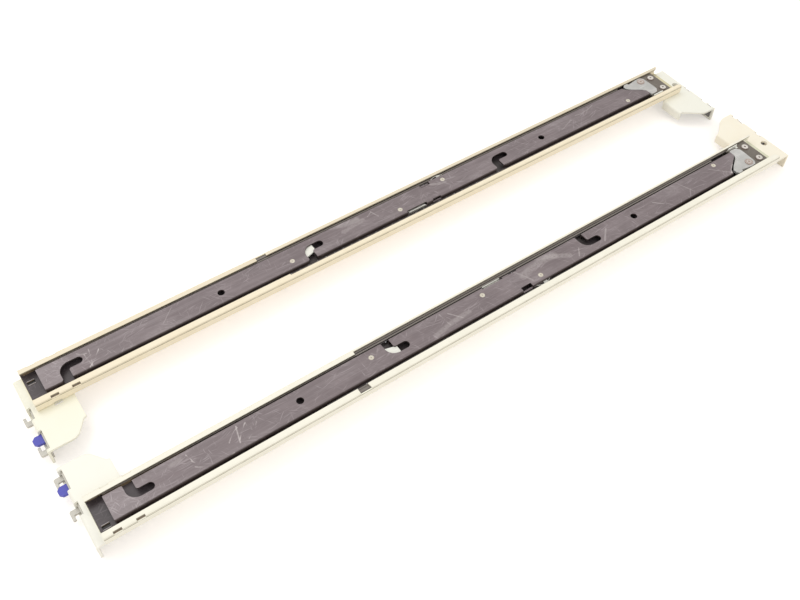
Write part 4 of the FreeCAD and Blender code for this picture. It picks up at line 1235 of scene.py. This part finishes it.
@dataclass
class BallSlide(SubAssembly):
    """The three members with their ball rows and small parts.

    Attributes:
        ball_radius: Radius of a ball, in mm.
        ball_pitch: Distance between balls, in mm.
        row_margin: Distance from the cage's ends to the first and last ball, in mm.
        rivet: Flush rivet in the slide's face.
    """

    ball_radius: float = 1.28
    ball_pitch: float = 9.0
    row_margin: float = 10.0
    rivet: Pin = Pin(head=2.4, head_height=1.4, shank=2.35, foot=3.2, foot_height=0.6, rim=0.3,
                     ring=1.7, ring_depth=0.2, dimple=0.6, dimple_depth=0.35)

    def build(self) -> None:
        """Dresses the members and makes balls and rivets."""
        self.paint({
            "inner_member": "slide_coat", "outer_member": "member_steel",
            "middle_member": "member_steel", "outer_cage": "strip_dark",
            "inner_cage": "strip_dark", "stud_catch": "white_nylon",
            "side_latch": "bright_zinc", "side_spring": "bright_zinc",
        })
        for ring in ("outer", "inner"):
            self.build_row(ring)
        self.set_pins("member_rivets", self.rivet, "rivet_pale", "rivet_pale", self.name("inner"))

    def build_row(self, ring: str) -> None:
        """Makes both ball rows of one cage.

        Args:
            ring: Which cage, outer or inner.
        """
        cage_low, cage_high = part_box(self.name(ring + "_cage"))
        low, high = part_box(self.name(ring + "_balls"))
        margin = self.row_margin * MM
        length = cage_high.x - cage_low.x - 2.0 * margin
        count = round(length / (self.ball_pitch * MM)) + 1
        middle = (low + high) / 2.0
        radius = self.ball_radius * MM
        balls = self.shop.repeats.make(
            self.name(ring) + "_ball_rows", self.shop.repeats.balls, [Vector((0.0, 0.0, 0.0))],
            count=count, pitch=length / (count - 1), radius=radius,
            start=(cage_low.x + margin, middle.y, middle.z),
            spread=(high.y - low.y) / 2.0 - radius, material=self.shop.materials["ball_steel"],
        )
        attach(balls, self.name(ring + "_carriage"))
        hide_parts(self.name(ring + "_balls"))
        LOG.info("made %d balls for %s", 2 * count, balls.name)


@dataclass
class RearLatch(SubAssembly):
    """Latch base with lever, pivot, spring and screws.

    Attributes:
        screw: Pan-head screw.
        pivot: Rivet that the lever turns on.
    """

    screw: Pin = Pin(head=3.6, head_height=1.3, shank=2.0, foot=2.0, foot_height=0.4, rim=0.55,
                     ring=2.3, ring_depth=0.12, dimple=1.2, dimple_depth=0.55)
    pivot: Pin = Pin(head=4.1, head_height=0.7, shank=3.0, foot=3.5, foot_height=0.8, rim=0.3,
                     ring=3.1, ring_depth=0.22, dimple=1.2, dimple_depth=0.15)

    def build(self) -> None:
        """Dresses the latch and makes its screws and pivot."""
        self.paint({"latch_base": "latch_steel", "latch_lever": "lever_zinc",
                    "latch_spring": "white_nylon"})
        self.set_pins("latch_screws", self.screw, "screw_pale", "bright_zinc", "rails")
        self.set_pins("latch_pivot", self.pivot, "pivot_tan", "pivot_tan", "rails")


@dataclass
class FrontMount(SubAssembly):
    """Front bracket with hooks, release tab and its folded leaf spring.

    Attributes:
        press: How far the release tab moves, in mm; not used.
    """

    press: float = 4.0

    def build(self) -> None:
        """Dresses the front mount and makes its spring."""
        self.paint({
            "front_bracket": "front_paint", "front_hooks": "hook_zinc_front",
            "release_tab": "blue_plastic", "release_slide": "bright_zinc",
            "release_stud": "bright_zinc",
        })
        self.build_spring()

    def build_spring(self) -> None:
        """Makes the folded leaf spring from a copy of the CAD node's mesh."""
        node = self.name("release_spring")
        shell = merged_shell(self.node("release_spring"))
        mesh = bpy.data.meshes.new(node + "_leaf")
        shell.to_mesh(mesh)
        shell.free()
        mesh.materials.append(self.shop.materials["spring_wire"])
        spring = add_object(node + "_leaf", mesh)
        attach(spring, "rails")
        self.name("release_press")
        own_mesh(spring)
        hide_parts(node)
        LOG.info("made %s", spring.name)


@dataclass
class RearMount(SubAssembly):
    """Rear bracket with its hooks."""

    def build(self) -> None:
        """Dresses the rear mount."""
        self.paint({"rear_bracket": "rear_paint", "rear_hooks": "hook_zinc_rear"})


@dataclass
class Channel(SubAssembly):
    """Bent sheet channel that carries the slide."""

    def build(self) -> None:
        """Dresses the channel and the plain fasteners in it."""
        self.paint({"channel": "channel_paint", "front_rivets": "rivet_brown",
                    "adjust_screws": "bright_zinc"})


# --- studio
@dataclass
class Studio:
    """Pale floor, soft lights and the camera.

    Attributes:
        eye: Where the camera stands.
        aim: What it looks at.
        roll: Its roll in radians.
        focal: Focal length in mm.
        floor_size: Side of the floor in metres.
        floor_drop: How far it lies below the rails, in metres.
        floor_tones: The floor's two faintly different tones.
        glow: How much the floor shines to the camera and in reflections.
        world_light: Strength of the even light.
        lamps: Name, place, side of the square and watts of each light.
    """

    eye: tuple = (-0.3503, -0.4231, 0.6305)
    aim: tuple = (-0.0607, -0.0175, 0.013)
    roll: float = math.radians(1.07)
    focal: float = 40.56
    floor_size: float = 8.0
    floor_drop: float = 0.0002
    floor_tones: tuple[Colour, Colour] = ((0.90, 0.86, 0.825), (0.91, 0.87, 0.835))
    glow: float = 0.345
    world_light: float = 0.82
    lamps: tuple = (("key_light", (-0.6, 1.1, 2.2), 1.5, 14.0),
                    ("fill_light", (0.5, -1.8, 2.0), 2.2, 9.0))

    def build(self) -> None:
        """Makes floor, world, lights and camera."""
        self.build_floor()
        self.build_world()
        for lamp in self.lamps:
            self.build_light(*lamp)
        self.build_camera()

    def build_floor(self) -> None:
        """Makes the floor, which is white to the camera and keeps soft shadows."""
        place = (0.0, 0.0, -self.floor_drop)
        bpy.ops.mesh.primitive_plane_add(size=self.floor_size, location=place)
        floor = bpy.context.object
        floor.name = "floor"
        material = bpy.data.materials.new("floor_white")
        material.use_nodes = True
        nodes = material.node_tree.nodes
        tree = Tree(material.node_tree)
        where = tree.add("ShaderNodeTexCoord").outputs["Object"]
        tone = tree.blend(tree.ramp(tree.noise(where, 3.0), 0.3, 0.7), *self.floor_tones)
        shader = tree.fill(nodes["Principled BSDF"], Base_Color=tone, Roughness=0.8,
                           Specular_IOR_Level=0.2)
        rays = tree.add("ShaderNodeLightPath").outputs
        seen = tree.maths("MAXIMUM", rays["Is Camera Ray"], rays["Is Glossy Ray"])
        seen = tree.maths("MAXIMUM", seen, rays["Is Transmission Ray"])
        glow = tree.fill(tree.add("ShaderNodeEmission"), Color=(1.0, 1.0, 1.0, 1.0),
                         Strength=tree.times(seen, self.glow))
        both = tree.add("ShaderNodeAddShader")
        for part, socket in zip((shader, glow), both.inputs):
            tree.join(part.outputs[0], socket)
        tree.join(both.outputs[0], nodes["Material Output"].inputs["Surface"])
        floor.data.materials.append(material)

    def build_world(self) -> None:
        """Makes an even pale world."""
        world = bpy.data.worlds.new("studio_world")
        world.use_nodes = True
        shade = world.node_tree.nodes["Background"]
        shade.inputs["Color"].default_value = (1.0, 0.985, 0.965, 1.0)
        shade.inputs["Strength"].default_value = self.world_light
        bpy.context.scene.world = world

    def build_light(self, name: str, place: tuple, size: float, power: float) -> None:
        """Makes a square area light that faces the middle of the floor.

        Args:
            name: Name of the light.
            place: Where it stands.
            size: Side of the square.
            power: Watts.
        """
        data = bpy.data.lights.new(name, "AREA")
        data.energy = power
        data.size = size
        lamp = add_object(name, data)
        lamp.location = place
        lamp.rotation_euler = (-Vector(place)).to_track_quat("-Z", "Y").to_euler()

    def build_camera(self) -> None:
        """Makes the camera, level with the floor but for a slight roll."""
        data = bpy.data.cameras.new("camera")
        data.lens = self.focal
        data.sensor_width = 36.0
        data.clip_start = 0.01
        camera = add_object("camera", data)
        look = (Vector(self.aim) - Vector(self.eye)).to_track_quat("-Z", "Y").to_matrix().to_4x4()
        roll = Matrix.Rotation(self.roll, 4, "Z")
        camera.matrix_world = Matrix.Translation(self.eye) @ look @ roll
        bpy.context.scene.camera = camera


def main() -> None:
    """Builds the object's looks and the studio round it."""
    logging.basicConfig(level=logging.INFO)
    bpy.context.scene.view_settings.view_transform = "Standard"
    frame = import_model()
    shop = Workshop(frame)
    for side in Side:
        for kind in (Channel, BallSlide, RearLatch, FrontMount, RearMount):
            kind(shop, side).build()
    Studio().build()


if __name__ == "__main__":
    main()
